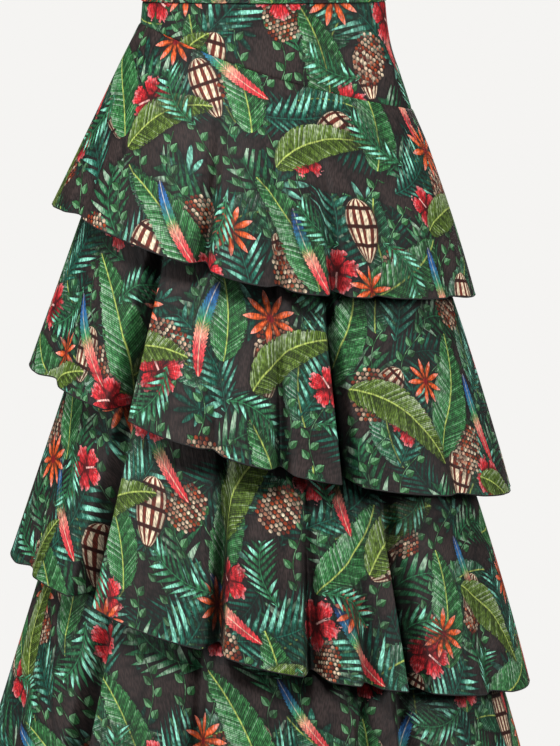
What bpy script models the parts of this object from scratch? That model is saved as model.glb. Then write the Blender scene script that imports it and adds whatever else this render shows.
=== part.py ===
"""Tiered maxi skirt, hollow as when it is worn, built from its cut pieces.

Metres, +Z up. The origin is the centre of the waist at the waistband's top edge. -Y is the front
and +X is the wearer's left, where the concealed zip is. A bearing is an angle in plan: 0 is the
front, positive towards +X. A drop is a distance below the waistband's top edge.

A fitted yoke hangs from the waistband. The underskirt and the first flounce are sewn to the yoke's
slanted lower edge, and three more flounces are sewn round the underskirt, each with its seam hidden
by the flounce above. Every seam and hem slants down towards the wearer's left.
"""

import math
from collections import namedtuple

import bmesh
import bpy
import numpy as np
from mathutils import Matrix

MM = 0.001
WALL = 1.2 * MM
BAND_WALL = 2.4 * MM
SEAM_GAP = 0.3 * MM
EDGE_GAP = 2 * SEAM_GAP
LAID_GAP = 0.8 * MM
BAND_HEIGHT = 35 * MM

# The general figure that the underskirt lies on, from the waist to the knee.
Girth = namedtuple("Girth", "drop half_width front back")
FIGURE = (
    Girth(0, 128.0, 90, 96),
    Girth(35, 129.5, 92, 98),
    Girth(60, 132.0, 95, 103),
    Girth(85, 136.5, 99, 110),
    Girth(115, 146.5, 105, 118),
    Girth(155, 159.5, 112, 127),
    Girth(200, 171.0, 121, 136),
    Girth(300, 182.0, 138, 148),
    Girth(380, 188.0, 151, 158),
    Girth(515, 208.0, 172, 178),
    Girth(730, 241.0, 206, 211),
    Girth(820, 254.0, 220, 225),
)

# Each flounce: its seam and hem as drops at the right and left of the wearer, how far the middle
# hangs below that slanting plane, and how far the hem reaches from the axis on its four sides.
Flounce = namedtuple(
    "Flounce",
    "seam_right seam_left seam_dip hem_right hem_left hem_dip right left front back",
)
FLOUNCES = (
    Flounce(59, 152, 5, 255, 355, 22, 230, 230, 190, 198),
    Flounce(198, 300, 5, 431, 570, 15, 256, 270, 224, 230),
    Flounce(378, 512, 5, 640, 784, 11, 278, 292, 249, 255),
    Flounce(581, 726, 5, 852, 999, 10, 304, 318, 275, 281),
)

# The folds: valleys between the lobes of each flounce. place and half_width are degrees round the
# hem's oval, depth is millimetres at the hem, and start is how far down the flounce a fold begins.
Fold = namedtuple("Fold", "place half_width depth start")
FOLDS = (
    (
        Fold(-62, 7.0, 6, 0.45),
        Fold(-17, 4.6, 17, 0.20),
        Fold(4.4, 5.0, 10, 0.30),
        Fold(20.6, 4.2, 18, 0.20),
        Fold(33, 4.2, 7, 0.45),
        Fold(64, 7.0, 6, 0.45),
        Fold(118, 5.0, 13, 0.30),
        Fold(141, 4.4, 18, 0.20),
        Fold(163, 4.8, 10, 0.35),
        Fold(-176, 4.4, 18, 0.20),
        Fold(-154, 4.6, 13, 0.30),
        Fold(-127, 5.2, 15, 0.25),
    ),
    (
        Fold(-64, 7.0, 8, 0.40),
        Fold(-36.5, 4.0, 42, 0.04),
        Fold(-12, 3.8, 7, 0.50),
        Fold(4.4, 4.0, 18, 0.25),
        Fold(21, 3.4, 38, 0.06),
        Fold(54, 7.5, 8, 0.40),
        Fold(116, 5.0, 20, 0.20),
        Fold(138, 4.0, 36, 0.08),
        Fold(158, 4.2, 15, 0.30),
        Fold(176, 3.8, 38, 0.08),
        Fold(-160, 4.2, 12, 0.35),
        Fold(-142, 4.0, 36, 0.08),
        Fold(-117, 5.2, 16, 0.25),
    ),
    (
        Fold(-68, 6.5, 9, 0.40),
        Fold(-43.5, 4.0, 44, 0.04),
        Fold(-10.7, 3.6, 32, 0.10),
        Fold(11.5, 3.8, 27, 0.15),
        Fold(23.6, 3.2, 14, 0.35),
        Fold(35.5, 3.6, 42, 0.06),
        Fold(61, 6.5, 9, 0.40),
        Fold(112, 5.0, 18, 0.25),
        Fold(132, 4.0, 38, 0.08),
        Fold(152, 3.8, 24, 0.20),
        Fold(169, 3.8, 38, 0.08),
        Fold(-173, 3.4, 14, 0.35),
        Fold(-154, 4.0, 34, 0.10),
        Fold(-134, 4.0, 22, 0.20),
        Fold(-113, 5.2, 18, 0.25),
    ),
    (
        Fold(-69, 6.0, 10, 0.40),
        Fold(-43.5, 4.0, 44, 0.04),
        Fold(-15.5, 3.8, 26, 0.15),
        Fold(6.2, 3.6, 18, 0.25),
        Fold(23.6, 3.4, 34, 0.10),
        Fold(34.5, 3.4, 36, 0.08),
        Fold(62, 6.0, 10, 0.40),
        Fold(110, 5.0, 22, 0.20),
        Fold(129, 4.0, 36, 0.08),
        Fold(147, 3.8, 20, 0.25),
        Fold(163, 3.6, 36, 0.10),
        Fold(-179, 3.8, 22, 0.20),
        Fold(-160, 3.8, 38, 0.08),
        Fold(-140, 4.0, 24, 0.20),
        Fold(-116, 5.0, 20, 0.20),
    ),
)
FOLD_LIFT = 0.22
LOBE_RISE = 9 * MM
LOBE_SPAN = math.radians(34)
BULGE = 4 * MM
CLEARANCE = 3 * MM
CLEAR_FROM = 0.2
BLEND = 5 * MM
NEIGHBOUR = math.radians(1.6)

# How finely the cloth is sectioned.
FLOUNCE_LEVELS = (0, 0.14, 0.34, 0.58, 0.80, 1)
FLOUNCE_COLUMNS = {"front": 62, "back": 54}
UNDERSKIRT_STEPS = 2
UNDERSKIRT_FOOT = 4 * MM
YOKE_LEVELS = (0, 0.2, 0.4, 0.6, 0.8, 1)
PLAIN_COLUMNS = 28
TURN_WEIGHT = 55 * MM
TURN_WINDOW = 9
FINE_COLUMNS = 900

# The concealed zip in the wearer's left side seam.
ZIP_SLOT = 2 * MM
ZIP_GAP = 0.9 * MM
ZIP_FOOT = 146 * MM
TAPE_WIDTH = 24 * MM
TAPE_WALL = 0.8 * MM
TAPE_COLUMNS = 5
TAPE_LEVELS = 13
SLIDER_DEPTH = 3.2 * MM
SLIDER_WIDTH = 6 * MM
SLIDER_HEIGHT = 8.4 * MM
SLIDER_DROP = 6.7 * MM
NECK_WALL = 1.2 * MM
NECK_HEIGHT = 3.2 * MM
EYE_OUTER = 2.3 * MM
EYE_INNER = 1.3 * MM
EYE_STANDOFF = 3.2 * MM
EYE_SIDES = 24
TAB_WALL = 1.2 * MM
TAB_WIDTH = 6 * MM
TAB_LENGTH = 22 * MM
TAB_BAR = 1 * MM
TAB_SLOT = 2.4 * MM
TAB_SLOT_FOOT = 2.8 * MM
TAB_ROUNDING = 2.6 * MM
TAB_ROUND_STEPS = 5
OVERCUT = 1 * MM
NEAR = 0.01 * MM

PRINTED_CLOTH = ("printed_cloth", (0.045, 0.085, 0.055), 0.8, 0.0)
UNDERSKIRT_CLOTH = ("underskirt_cloth", (0.03, 0.026, 0.026), 0.75, 0.0)
TAPE_CLOTH = ("zip_tape_cloth", (0.03, 0.027, 0.027), 0.7, 0.0)
DARK_METAL = ("dark_metal", (0.09, 0.085, 0.08), 0.35, 0.9)


def figure(column, drop):
    """One column of the figure's table at a drop, on a smooth curve through its rows."""
    drops = np.array([row.drop for row in FIGURE]) * MM
    values = np.array([getattr(row, column) for row in FIGURE]) * MM
    slopes = np.gradient(values, drops)
    drop = np.clip(drop, drops[0], drops[-1])
    row = np.clip(np.searchsorted(drops, drop) - 1, 0, len(drops) - 2)
    step = drops[row + 1] - drops[row]
    rise = values[row + 1] - values[row]
    share = (drop - drops[row]) / step
    lean = (1 - share) * (slopes[row] * step - rise) - share * (slopes[row + 1] * step - rise)
    return values[row] + rise * share + share * (1 - share) * lean


def oval(bearing, right, left, front, back):
    """The radius at a bearing of an oval that reaches these distances from the axis."""
    across = np.where(np.sin(bearing) < 0, right, left)
    along = np.where(np.cos(bearing) < 0, back, front)
    return 1 / np.hypot(np.sin(bearing) / across, np.cos(bearing) / along)


def figure_radius(bearing, drop):
    half_width = figure("half_width", drop)
    return oval(bearing, half_width, half_width, figure("front", drop), figure("back", drop))


def slanted(bearing, right, left, dip, across, along):
    """The drop at a bearing of a slanting seam or hem, whose oval has these half widths."""
    share = oval(bearing, across, across, along, along) * np.sin(bearing) / across
    middle = (right + left) / 2
    return (middle + (left - right) / 2 * share + dip * (1 - share**2) ** 2) * MM


def seam_drop(tier, bearing):
    row = FLOUNCES[tier]
    level = (row.seam_right + row.seam_left) / 2 * MM
    across, along = figure("half_width", level), figure("front", level)
    return slanted(bearing, row.seam_right, row.seam_left, row.seam_dip, across, along)


def hem_drop(tier, bearing):
    """The drop of a flounce's hem, which rises a little where a fold takes it inwards."""
    row = FLOUNCES[tier]
    across, along = (row.right + row.left) / 2, (row.front + row.back) / 2
    level = slanted(bearing, row.hem_right, row.hem_left, row.hem_dip, across, along)
    return level + FOLD_LIFT * folded(tier, bearing, 1)


def fold_bearings(tier):
    """The bearings of a flounce's folds, from their places round the hem's oval."""
    row = FLOUNCES[tier]
    squash = (row.front + row.back) / (row.right + row.left)
    places = np.radians([fold.place for fold in FOLDS[tier]])
    return np.arctan2(np.sin(places), np.cos(places) * squash)


def between(bearing, other):
    """The angle from one bearing to another, within half a turn either way."""
    return (bearing - other + math.pi) % (2 * math.pi) - math.pi


def folded(tier, bearing, share):
    """How far folds and lobes move a flounce outwards at a bearing and a share of its length."""
    moved = np.zeros(np.broadcast(bearing, share).shape)
    centres = fold_bearings(tier)
    for fold, centre in zip(FOLDS[tier], centres):
        across = np.clip(between(bearing, centre) / math.radians(fold.half_width), -1, 1)
        grown = np.clip((share - fold.start) / (1 - fold.start), 0, 1)
        moved -= fold.depth * MM * (0.5 + 0.5 * np.cos(math.pi * across)) * grown
    ring = np.sort(centres)
    for low, high in zip(ring, np.append(ring[1:], ring[0] + 2 * math.pi)):
        place = ((bearing - low) % (2 * math.pi)) / (high - low)
        rise = LOBE_RISE * min(1, (high - low) / LOBE_SPAN) * np.abs(np.cos(bearing))
        moved += np.where(place < 1, rise * np.sin(math.pi * np.minimum(place, 1)), 0) * share
    return moved


def flounce_radius(tier, bearing, drop):
    """The inner face of a flounce. It keeps clear of the underskirt and of the next flounce."""
    row = FLOUNCES[tier]
    seam, hem = seam_drop(tier, bearing), hem_drop(tier, bearing)
    share = np.clip((drop - seam) / (hem - seam), 0, 1)
    top = figure_radius(bearing, seam) + WALL + LAID_GAP
    foot = oval(bearing, row.right * MM, row.left * MM, row.front * MM, row.back * MM)
    bulge = BULGE * (1 + np.sin(bearing)) / 2 * 4 * share * (1 - share)
    free = top + (foot - top) * share + bulge + folded(tier, bearing, share)
    clear = np.clip(share / CLEAR_FROM, 0, 1)
    inside = figure_radius(bearing, drop) + WALL + LAID_GAP + CLEARANCE * clear
    if tier + 1 < len(FLOUNCES):
        for side in (-NEIGHBOUR, 0, NEIGHBOUR):
            covered = drop > seam_drop(tier + 1, bearing + side) - BLEND
            below = flounce_radius(tier + 1, bearing + side, drop) + WALL + CLEARANCE
            inside = np.where(covered, np.maximum(inside, below), inside)
    return (free + inside + np.hypot(free - inside, BLEND * clear)) / 2


def new_material(name, colour, roughness, metallic):
    made = bpy.data.materials.get(name) or bpy.data.materials.new(name)
    made.use_nodes = True
    shader = made.node_tree.nodes["Principled BSDF"]
    shader.inputs["Base Color"].default_value = (*colour, 1)
    shader.inputs["Roughness"].default_value = roughness
    shader.inputs["Metallic"].default_value = metallic
    made.diffuse_color = (*colour, 1)
    return made


def new_object(name, work, collection, finish=None):
    """An object from a finished bmesh, which is freed."""
    mesh = bpy.data.meshes.new(name)
    work.to_mesh(mesh)
    work.free()
    if finish:
        mesh.materials.append(new_material(*finish))
    made = bpy.data.objects.new(name, mesh)
    collection.objects.link(made)
    return made


def cloth(name, bearings, levels, place, shift, wall, finish):
    """A panel: a grid whose columns are bearings and whose rows are levels, thickened outwards.

    place(bearings, levels) gives the radius and the drop of the panel's inner face.
    """
    work = bmesh.new()
    columns, rows = len(bearings), len(levels)
    bmesh.ops.create_grid(work, x_segments=columns - 1, y_segments=rows - 1, size=1)
    radius, drop = place(*np.meshgrid(bearings, levels, indexing="ij"))
    for vert in work.verts:
        column = round((vert.co.x + 1) / 2 * (columns - 1))
        row = round((1 - vert.co.y) / 2 * (rows - 1))
        reach = radius[column, row]
        vert.co.x = reach * math.sin(bearings[column])
        vert.co.y = -reach * math.cos(bearings[column]) + shift
        vert.co.z = -drop[column, row]
    made = new_object(name, work, parts, finish)
    made.data.shade_smooth()
    shell = made.modifiers.new("wall", "SOLIDIFY")
    shell.thickness = wall
    shell.offset = 1
    shell.use_even_offset = True


def seam_shift(side):
    """A front or back panel stands half a seam gap off the plane of the side seams."""
    return -SEAM_GAP / 2 if side == "front" else SEAM_GAP / 2


def half_turn(side, count, slot=0):
    """Bearings evenly across a front or back panel, short of the zip's slot on the wearer's left."""
    quarter = math.pi / 2
    if side == "front":
        return np.linspace(-quarter, quarter - slot, count)
    return np.linspace(quarter + slot, 3 * quarter, count)


def flounce_columns(tier, side):
    """Bearings along a flounce's hem, closest where its folds turn the most."""
    bearing = half_turn(side, FINE_COLUMNS)
    radius = flounce_radius(tier, bearing, hem_drop(tier, bearing))
    step_x = np.diff(radius * np.sin(bearing))
    step_y = np.diff(-radius * np.cos(bearing))
    heading = np.unwrap(np.arctan2(step_y, step_x))
    turning = np.convolve(np.abs(np.gradient(heading)), np.ones(TURN_WINDOW) / TURN_WINDOW, "same")
    cost = np.hypot(step_x, step_y) + TURN_WEIGHT * turning
    along = np.concatenate([[0], np.cumsum(cost)])
    return np.interp(np.linspace(0, along[-1], FLOUNCE_COLUMNS[side]), along, bearing)


def slot_bearing():
    return ZIP_SLOT / 2 / (FIGURE[0].half_width * MM)


def make_waistband(side):
    def place(bearing, level):
        drop = level * BAND_HEIGHT
        return figure_radius(bearing, drop) + WALL + SEAM_GAP, drop

    bearings = half_turn(side, PLAIN_COLUMNS, slot_bearing())
    cloth(f"waistband_{side}", bearings, (0, 1), place, seam_shift(side), BAND_WALL, PRINTED_CLOTH)


def make_yoke(side):
    def place(bearing, level):
        top = BAND_HEIGHT + EDGE_GAP
        drop = top + (seam_drop(0, bearing) - top) * level
        return figure_radius(bearing, drop) + WALL + SEAM_GAP, drop

    bearings = half_turn(side, PLAIN_COLUMNS, slot_bearing())
    cloth(f"yoke_{side}", bearings, YOKE_LEVELS, place, seam_shift(side), WALL, PRINTED_CLOTH)


def make_underskirt(side):
    """The underskirt, with a row of its grid on the seam of each flounce that it carries."""
    seams = len(FLOUNCES)

    def place(bearing, level):
        rows = [seam_drop(tier, bearing) for tier in range(seams)]
        rows[0] += EDGE_GAP
        rows[-1] += UNDERSKIRT_FOOT
        tier = np.clip(level.astype(int), 0, seams - 2)
        upper = np.choose(tier, rows)
        lower = np.choose(tier + 1, rows)
        drop = upper + (lower - upper) * (level - tier)
        return figure_radius(bearing, drop), drop

    levels = np.linspace(0, seams - 1, UNDERSKIRT_STEPS * (seams - 1) + 1)
    bearings = half_turn(side, PLAIN_COLUMNS)
    cloth(f"underskirt_{side}", bearings, levels, place, seam_shift(side), WALL, UNDERSKIRT_CLOTH)


def make_flounce(tier, side):
    def place(bearing, level):
        top = seam_drop(tier, bearing) + EDGE_GAP
        drop = top + (hem_drop(tier, bearing) - top) * level
        return flounce_radius(tier, bearing, drop), drop

    name = f"flounce_{tier + 1}_{side}"
    bearings = flounce_columns(tier, side)
    cloth(name, bearings, FLOUNCE_LEVELS, place, seam_shift(side), WALL, PRINTED_CLOTH)


def box(size, centre):
    work = bmesh.new()
    bmesh.ops.create_cube(work, size=1)
    bmesh.ops.scale(work, vec=size, verts=work.verts)
    bmesh.ops.translate(work, vec=centre, verts=work.verts)
    return work


def round_bar(radius, width, centre):
    """A round bar that lies along Y."""
    work = bmesh.new()
    bmesh.ops.create_cone(
        work, cap_ends=True, segments=EYE_SIDES, radius1=radius, radius2=radius, depth=width
    )
    turn = Matrix.Rotation(math.pi / 2, 3, "X")
    bmesh.ops.rotate(work, cent=(0, 0, 0), matrix=turn, verts=work.verts)
    bmesh.ops.translate(work, vec=centre, verts=work.verts)
    return work


def combine(target, name, work, operation):
    """Join a shape to an object, or cut it away, with a Boolean."""
    tool = new_object(name, work, cutters)
    tool.location = target.location
    tool.hide_render = True
    tool.display_type = "WIRE"
    step = target.modifiers.new(name, "BOOLEAN")
    step.operation = operation
    step.object = tool


def make_zip_tape():
    """Both halves of the tape with their closed teeth, behind the edges of the side seam."""
    top = SLIDER_DROP + SLIDER_HEIGHT / 2 + SEAM_GAP

    def place(bearing, level):
        drop = top + (ZIP_FOOT - top) * level
        return figure_radius(bearing, drop) + WALL + SEAM_GAP - ZIP_GAP - TAPE_WALL, drop

    spread = TAPE_WIDTH / 2 / (FIGURE[0].half_width * MM)
    bearings = np.linspace(math.pi / 2 - spread, math.pi / 2 + spread, TAPE_COLUMNS)
    levels = np.linspace(0, 1, TAPE_LEVELS)
    cloth("zip_tape", bearings, levels, place, 0, TAPE_WALL, TAPE_CLOTH)


def hinge_reach():
    """How far from the axis the pull tab's hinge is."""
    band = float(figure("half_width", SLIDER_DROP)) + WALL + SEAM_GAP + BAND_WALL
    return band + EYE_STANDOFF


def make_zip_slider():
    """The slider inside the band, with a thin neck through the slot that ends in the tab's eye."""
    inner_face = float(figure("half_width", SLIDER_DROP)) + WALL + SEAM_GAP - ZIP_GAP
    root = inner_face - SLIDER_DEPTH / 2
    reach = hinge_reach()
    body = box((SLIDER_DEPTH, SLIDER_WIDTH, SLIDER_HEIGHT), (root, 0, 0))
    slider = new_object("zip_slider", body, parts, DARK_METAL)
    slider.location.z = -SLIDER_DROP
    neck = box((reach - root, NECK_WALL, NECK_HEIGHT), ((reach + root) / 2, 0, 0))
    combine(slider, "neck", neck, "UNION")
    combine(slider, "eye", round_bar(EYE_OUTER, NECK_WALL, (reach, 0, 0)), "UNION")
    hole = round_bar(EYE_INNER, NECK_WALL + 2 * OVERCUT, (reach, 0, 0))
    combine(slider, "hole", hole, "DIFFERENCE")


def make_zip_pull():
    """The pull tab. Its top bar lies in the slider's eye, and the tab hangs from it."""
    top = TAB_BAR / 2
    work = box((TAB_WALL, TAB_WIDTH, TAB_LENGTH), (0, 0, top - TAB_LENGTH / 2))
    foot = top - TAB_LENGTH
    corners = [
        edge
        for edge in work.edges
        if all(abs(vert.co.z - foot) < NEAR for vert in edge.verts)
        and abs(edge.verts[0].co.y - edge.verts[1].co.y) < NEAR
    ]
    bmesh.ops.bevel(
        work, geom=corners, offset=TAB_ROUNDING, segments=TAB_ROUND_STEPS, affect="EDGES",
        profile=0.5,
    )
    pull = new_object("zip_pull", work, parts, DARK_METAL)
    pull.location = (hinge_reach(), 0, -SLIDER_DROP)
    height = TAB_SLOT_FOOT - TAB_BAR / 2
    window = box((TAB_WALL + 2 * OVERCUT, TAB_SLOT, height), (0, 0, -TAB_BAR / 2 - height / 2))
    combine(pull, "window", window, "DIFFERENCE")


def new_collection(name):
    made = bpy.data.collections.new(name)
    bpy.context.scene.collection.children.link(made)
    return made


for old in list(bpy.data.objects):
    bpy.data.objects.remove(old, do_unlink=True)
parts = new_collection("maxi_skirt")
cutters = new_collection("cutters")

for half in ("front", "back"):
    make_waistband(half)
    make_yoke(half)
    make_underskirt(half)
    for number in range(len(FLOUNCES)):
        make_flounce(number, half)
make_zip_tape()
make_zip_slider()
make_zip_pull()
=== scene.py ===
"""A tiered maxi skirt in a tropical print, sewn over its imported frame.

Metres, +Z up. -Y is the front and +X is the wearer's left, where the concealed zip is. A bearing is
an angle in plan: 0 is the front, positive towards +X. A drop is a distance below the waistband's
top edge. A level is a share of the way down a panel, and a share is one of a flounce's length.
"""

import math
from collections import namedtuple

import bpy
import numpy as np
from bpy.props import FloatProperty, FloatVectorProperty, IntProperty, PointerProperty
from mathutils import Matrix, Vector


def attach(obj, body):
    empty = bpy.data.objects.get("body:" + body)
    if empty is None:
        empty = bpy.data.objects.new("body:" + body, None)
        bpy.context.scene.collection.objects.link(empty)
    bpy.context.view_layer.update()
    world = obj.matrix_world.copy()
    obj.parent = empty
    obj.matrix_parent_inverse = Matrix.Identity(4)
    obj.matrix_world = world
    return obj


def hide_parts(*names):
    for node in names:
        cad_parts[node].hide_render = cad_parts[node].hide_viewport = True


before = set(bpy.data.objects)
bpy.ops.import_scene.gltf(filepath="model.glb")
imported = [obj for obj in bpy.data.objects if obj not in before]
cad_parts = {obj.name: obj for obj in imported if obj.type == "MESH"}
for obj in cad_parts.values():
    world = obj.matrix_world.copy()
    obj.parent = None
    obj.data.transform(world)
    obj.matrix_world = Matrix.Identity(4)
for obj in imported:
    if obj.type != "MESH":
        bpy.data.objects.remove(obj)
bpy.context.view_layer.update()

bl_info = {
    "name": "Tiered maxi skirt",
    "version": (1, 0, 0),
    "blender": (4, 5, 0),
    "location": "3D View > Sidebar > Skirt",
    "description": "Makes a tiered skirt in a tropical print, with its zip and its studio",
    "category": "Object",
}

MM = 0.001
WALL = 1.2 * MM
BAND_WALL = 2.4 * MM
SEAM_GAP = 0.3 * MM
LAID_GAP = 0.8 * MM
BAND_HEIGHT = 35 * MM

# The general figure that the underskirt lies on, from the waist to the knee, in millimetres.
Girth = namedtuple("Girth", "drop half_width front back")
FIGURE = (
    Girth(0, 128.0, 90, 96),
    Girth(35, 129.5, 92, 98),
    Girth(60, 132.0, 95, 103),
    Girth(85, 136.5, 99, 110),
    Girth(115, 146.5, 105, 118),
    Girth(155, 159.5, 112, 127),
    Girth(200, 171.0, 121, 136),
    Girth(300, 182.0, 138, 148),
    Girth(380, 188.0, 151, 158),
    Girth(515, 208.0, 172, 178),
    Girth(730, 241.0, 206, 211),
    Girth(820, 254.0, 220, 225),
)
YOKE_ROW = FIGURE[3]

# Each flounce, in millimetres: its seam and hem as drops at the right and left of the wearer, how
# far the middle hangs below that slanting plane, and how far the hem reaches from the axis on its
# four sides.
Flounce = namedtuple(
    "Flounce",
    "seam_right seam_left seam_dip hem_right hem_left hem_dip right left front back",
)
FLOUNCES = (
    Flounce(59, 152, 5, 255, 355, 22, 230, 230, 190, 198),
    Flounce(198, 300, 5, 431, 570, 15, 256, 270, 224, 230),
    Flounce(378, 512, 5, 640, 784, 11, 278, 292, 249, 255),
    Flounce(581, 726, 5, 852, 999, 10, 304, 318, 275, 281),
)

# The folds: valleys between the lobes of each flounce. place and half_width are degrees round the
# hem's oval, depth is millimetres at the hem, and start is how far down the flounce a fold begins.
Fold = namedtuple("Fold", "place half_width depth start")
FOLDS = (
    (
        Fold(-62, 7.0, 6, 0.45),
        Fold(-17, 4.6, 17, 0.20),
        Fold(4.4, 5.0, 10, 0.30),
        Fold(20.6, 4.2, 18, 0.20),
        Fold(33, 4.2, 7, 0.45),
        Fold(64, 7.0, 6, 0.45),
        Fold(118, 5.0, 13, 0.30),
        Fold(141, 4.4, 18, 0.20),
        Fold(163, 4.8, 10, 0.35),
        Fold(-176, 4.4, 18, 0.20),
        Fold(-154, 4.6, 13, 0.30),
        Fold(-127, 5.2, 15, 0.25),
    ),
    (
        Fold(-64, 7.0, 8, 0.40),
        Fold(-36.5, 4.0, 42, 0.04),
        Fold(-12, 3.8, 7, 0.50),
        Fold(4.4, 4.0, 18, 0.25),
        Fold(21, 3.4, 38, 0.06),
        Fold(54, 7.5, 8, 0.40),
        Fold(116, 5.0, 20, 0.20),
        Fold(138, 4.0, 36, 0.08),
        Fold(158, 4.2, 15, 0.30),
        Fold(176, 3.8, 38, 0.08),
        Fold(-160, 4.2, 12, 0.35),
        Fold(-142, 4.0, 36, 0.08),
        Fold(-117, 5.2, 16, 0.25),
    ),
    (
        Fold(-68, 6.5, 9, 0.40),
        Fold(-43.5, 4.0, 44, 0.04),
        Fold(-10.7, 3.6, 32, 0.10),
        Fold(11.5, 3.8, 27, 0.15),
        Fold(23.6, 3.2, 14, 0.35),
        Fold(35.5, 3.6, 42, 0.06),
        Fold(61, 6.5, 9, 0.40),
        Fold(112, 5.0, 18, 0.25),
        Fold(132, 4.0, 38, 0.08),
        Fold(152, 3.8, 24, 0.20),
        Fold(169, 3.8, 38, 0.08),
        Fold(-173, 3.4, 14, 0.35),
        Fold(-154, 4.0, 34, 0.10),
        Fold(-134, 4.0, 22, 0.20),
        Fold(-113, 5.2, 18, 0.25),
    ),
    (
        Fold(-69, 6.0, 10, 0.40),
        Fold(-43.5, 4.0, 44, 0.04),
        Fold(-15.5, 3.8, 26, 0.15),
        Fold(6.2, 3.6, 18, 0.25),
        Fold(23.6, 3.4, 34, 0.10),
        Fold(34.5, 3.4, 36, 0.08),
        Fold(62, 6.0, 10, 0.40),
        Fold(110, 5.0, 22, 0.20),
        Fold(129, 4.0, 36, 0.08),
        Fold(147, 3.8, 20, 0.25),
        Fold(163, 3.6, 36, 0.10),
        Fold(-179, 3.8, 22, 0.20),
        Fold(-160, 3.8, 38, 0.08),
        Fold(-140, 4.0, 24, 0.20),
        Fold(-116, 5.0, 20, 0.20),
    ),
)
# A fold lifts its hem by this share of its depth, and a lobe between two folds swells by its rise.
FOLD_LIFT = 0.22
LOBE_RISE = 9 * MM
LOBE_SPAN = math.radians(34)
# A flounce bulges at the wearer's left, and stays clear of what it covers, blended over a length.
BULGE = 4 * MM
CLEARANCE = 3 * MM
CLEAR_FROM = 0.2
BLEND = 5 * MM
NEIGHBOUR = math.radians(1.6)
# Columns of faces lie closer where the hem turns: a turn counts as this much extra length.
TURN_WEIGHT = 55 * MM
TURN_WINDOW = 21
FINE_COLUMNS = 2100

# Rows and columns at these millimetres from an edge follow the roll of its seam.
EDGE_STEPS = (0, 0.5, 1.1, 1.8, 2.8, 4.5)
SEAM_ROLL = 2.6 * MM
BAND_INNER_ROLL = 0.3
YOKE_EDGE = 0.25 * MM
FLOUNCE_EDGE = 0.4 * MM
UNDERSKIRT_EDGE = 0.6 * MM
UNDERSKIRT_FOOT = 4 * MM
HEM_SIDES = 8
# A panel that hardly flares is cut as if its hem were longer than its top by this share.
LEAST_FLARE = 0.02

# The faces across and down each plain panel, and the general length that spaces its edge rows.
Faces = namedtuple("Faces", "columns rows length")
YOKE_FACES = Faces(110, 30, 80 * MM)
UNDERSKIRT_FACES = Faces(110, 56, 600 * MM)
FLOUNCE_LENGTH = 220 * MM
BAND_COLUMNS = 90

# Soft creases: their number, and the ranges of half width in degrees, start and lean in degrees.
CREASES = 30
CREASE_SEED = 41
CREASE_WIDTHS = (1.6, 4.2)
CREASE_STARTS = (0.1, 0.7)
CREASE_LEANS = (-2.5, 2.5)

# Puckers below a seam: three waves, each with a share of the depth and of the pitch, which a
# general radius turns into an angle.
PUCKER_PITCH = 11 * MM
PUCKER_REACH = 26 * MM
PUCKER_RADIUS = 170 * MM
PUCKER_WAVES = ((1.0, 1.0), (0.7, 1.7), (0.5, 0.6))
YOKE_FOOT_SEED = 7
YOKE_TOP_SEED = 8
YOKE_TOP_PUCKER = 0.6
FLOUNCE_SEED = 20

# The yoke's seam allowance, turned up inside it.
ALLOWANCE = 9 * MM
ALLOWANCE_WALL = 0.8 * MM
ALLOWANCE_GAP = 0.1 * MM
ALLOWANCE_LEAN = 0.2 * MM
ALLOWANCE_LIFT = 0.3 * MM
ALLOWANCE_ROWS = 7

# The concealed zip in the wearer's left side seam.
ZIP_SLOT = 1.6 * MM
ZIP_GAP = 0.9 * MM
ZIP_TOP = 11.2 * MM
ZIP_FOOT = 146 * MM
TAPE_WIDTH = 24 * MM
TAPE_WALL = 0.7 * MM
TAPE_COLUMNS = 25
TAPE_ROWS = 50
TOOTH_PITCH = 1.4 * MM
TOOTH_SIZE = (1.1 * MM, 4.0 * MM, 0.95 * MM)
TOOTH_SINK = 0.1 * MM
COIL_START = 2 * MM
COIL_END = 6 * MM
STOP_END = 4 * MM
STOP_SIZE = (1.6 * MM, 5 * MM, 3 * MM)
METAL_EDGE = 0.22 * MM

# Where the cloth's print starts on each panel, so that no two panels show the same part of it.
PRINT_STARTS = {
    "waistband_front": (0.10, 3.10),
    "waistband_back": (1.30, 3.40),
    "yoke_front": (2.20, 2.61),
    "yoke_back": (3.40, 1.95),
    "flounce_1_front": (4.13, 1.17),
    "flounce_1_back": (5.61, 2.43),
    "flounce_2_front": (6.29, 3.52),
    "flounce_2_back": (7.84, 1.71),
    "flounce_3_front": (8.37, 2.86),
    "flounce_3_back": (9.55, 3.93),
    "flounce_4_front": (10.21, 1.32),
    "flounce_4_back": (11.87, 2.19),
    "seam_allowance": (1.1, 5.2),
}

# The camera stands where the photo was taken from, and sees this height at the skirt's distance.
CAMERA_PLACE = (0.0176, -4.5, 0.10)
CAMERA_AIM = (0.0176, 0.0, -0.443)
VIEW_HEIGHT = 0.82
SENSOR_WIDTH = 36
VIEW_END = 200

# The studio's four square lights, which all face the skirt's middle.
Light = namedtuple("Light", "name place size")
LIGHTS = (
    Light("left", (-4.2, -1.7, 0.6), 1.4),
    Light("right", (4.2, -1.7, 0.6), 1.4),
    Light("top", (-0.9, -2.7, 2.5), 0.8),
    Light("back", (0.7, 4.0, 1.6), 1.6),
)
LIGHT_AIM = (0, 0, -0.5)
SKY_COLOUR = (1.0, 0.99, 0.98)


def srgb(red, green, blue):
    """A linear colour from the 0 to 255 values that a screen shows."""
    shown = (red / 255, green / 255, blue / 255)
    return tuple(c / 12.92 if c < 0.04045 else ((c + 0.055) / 1.055) ** 2.4 for c in shown)


def colour_property(name, description, default):
    """A colour that a user may set."""
    return FloatVectorProperty(
        name=name, description=description, subtype="COLOR", size=3, min=0, max=1, default=default
    )


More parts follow.
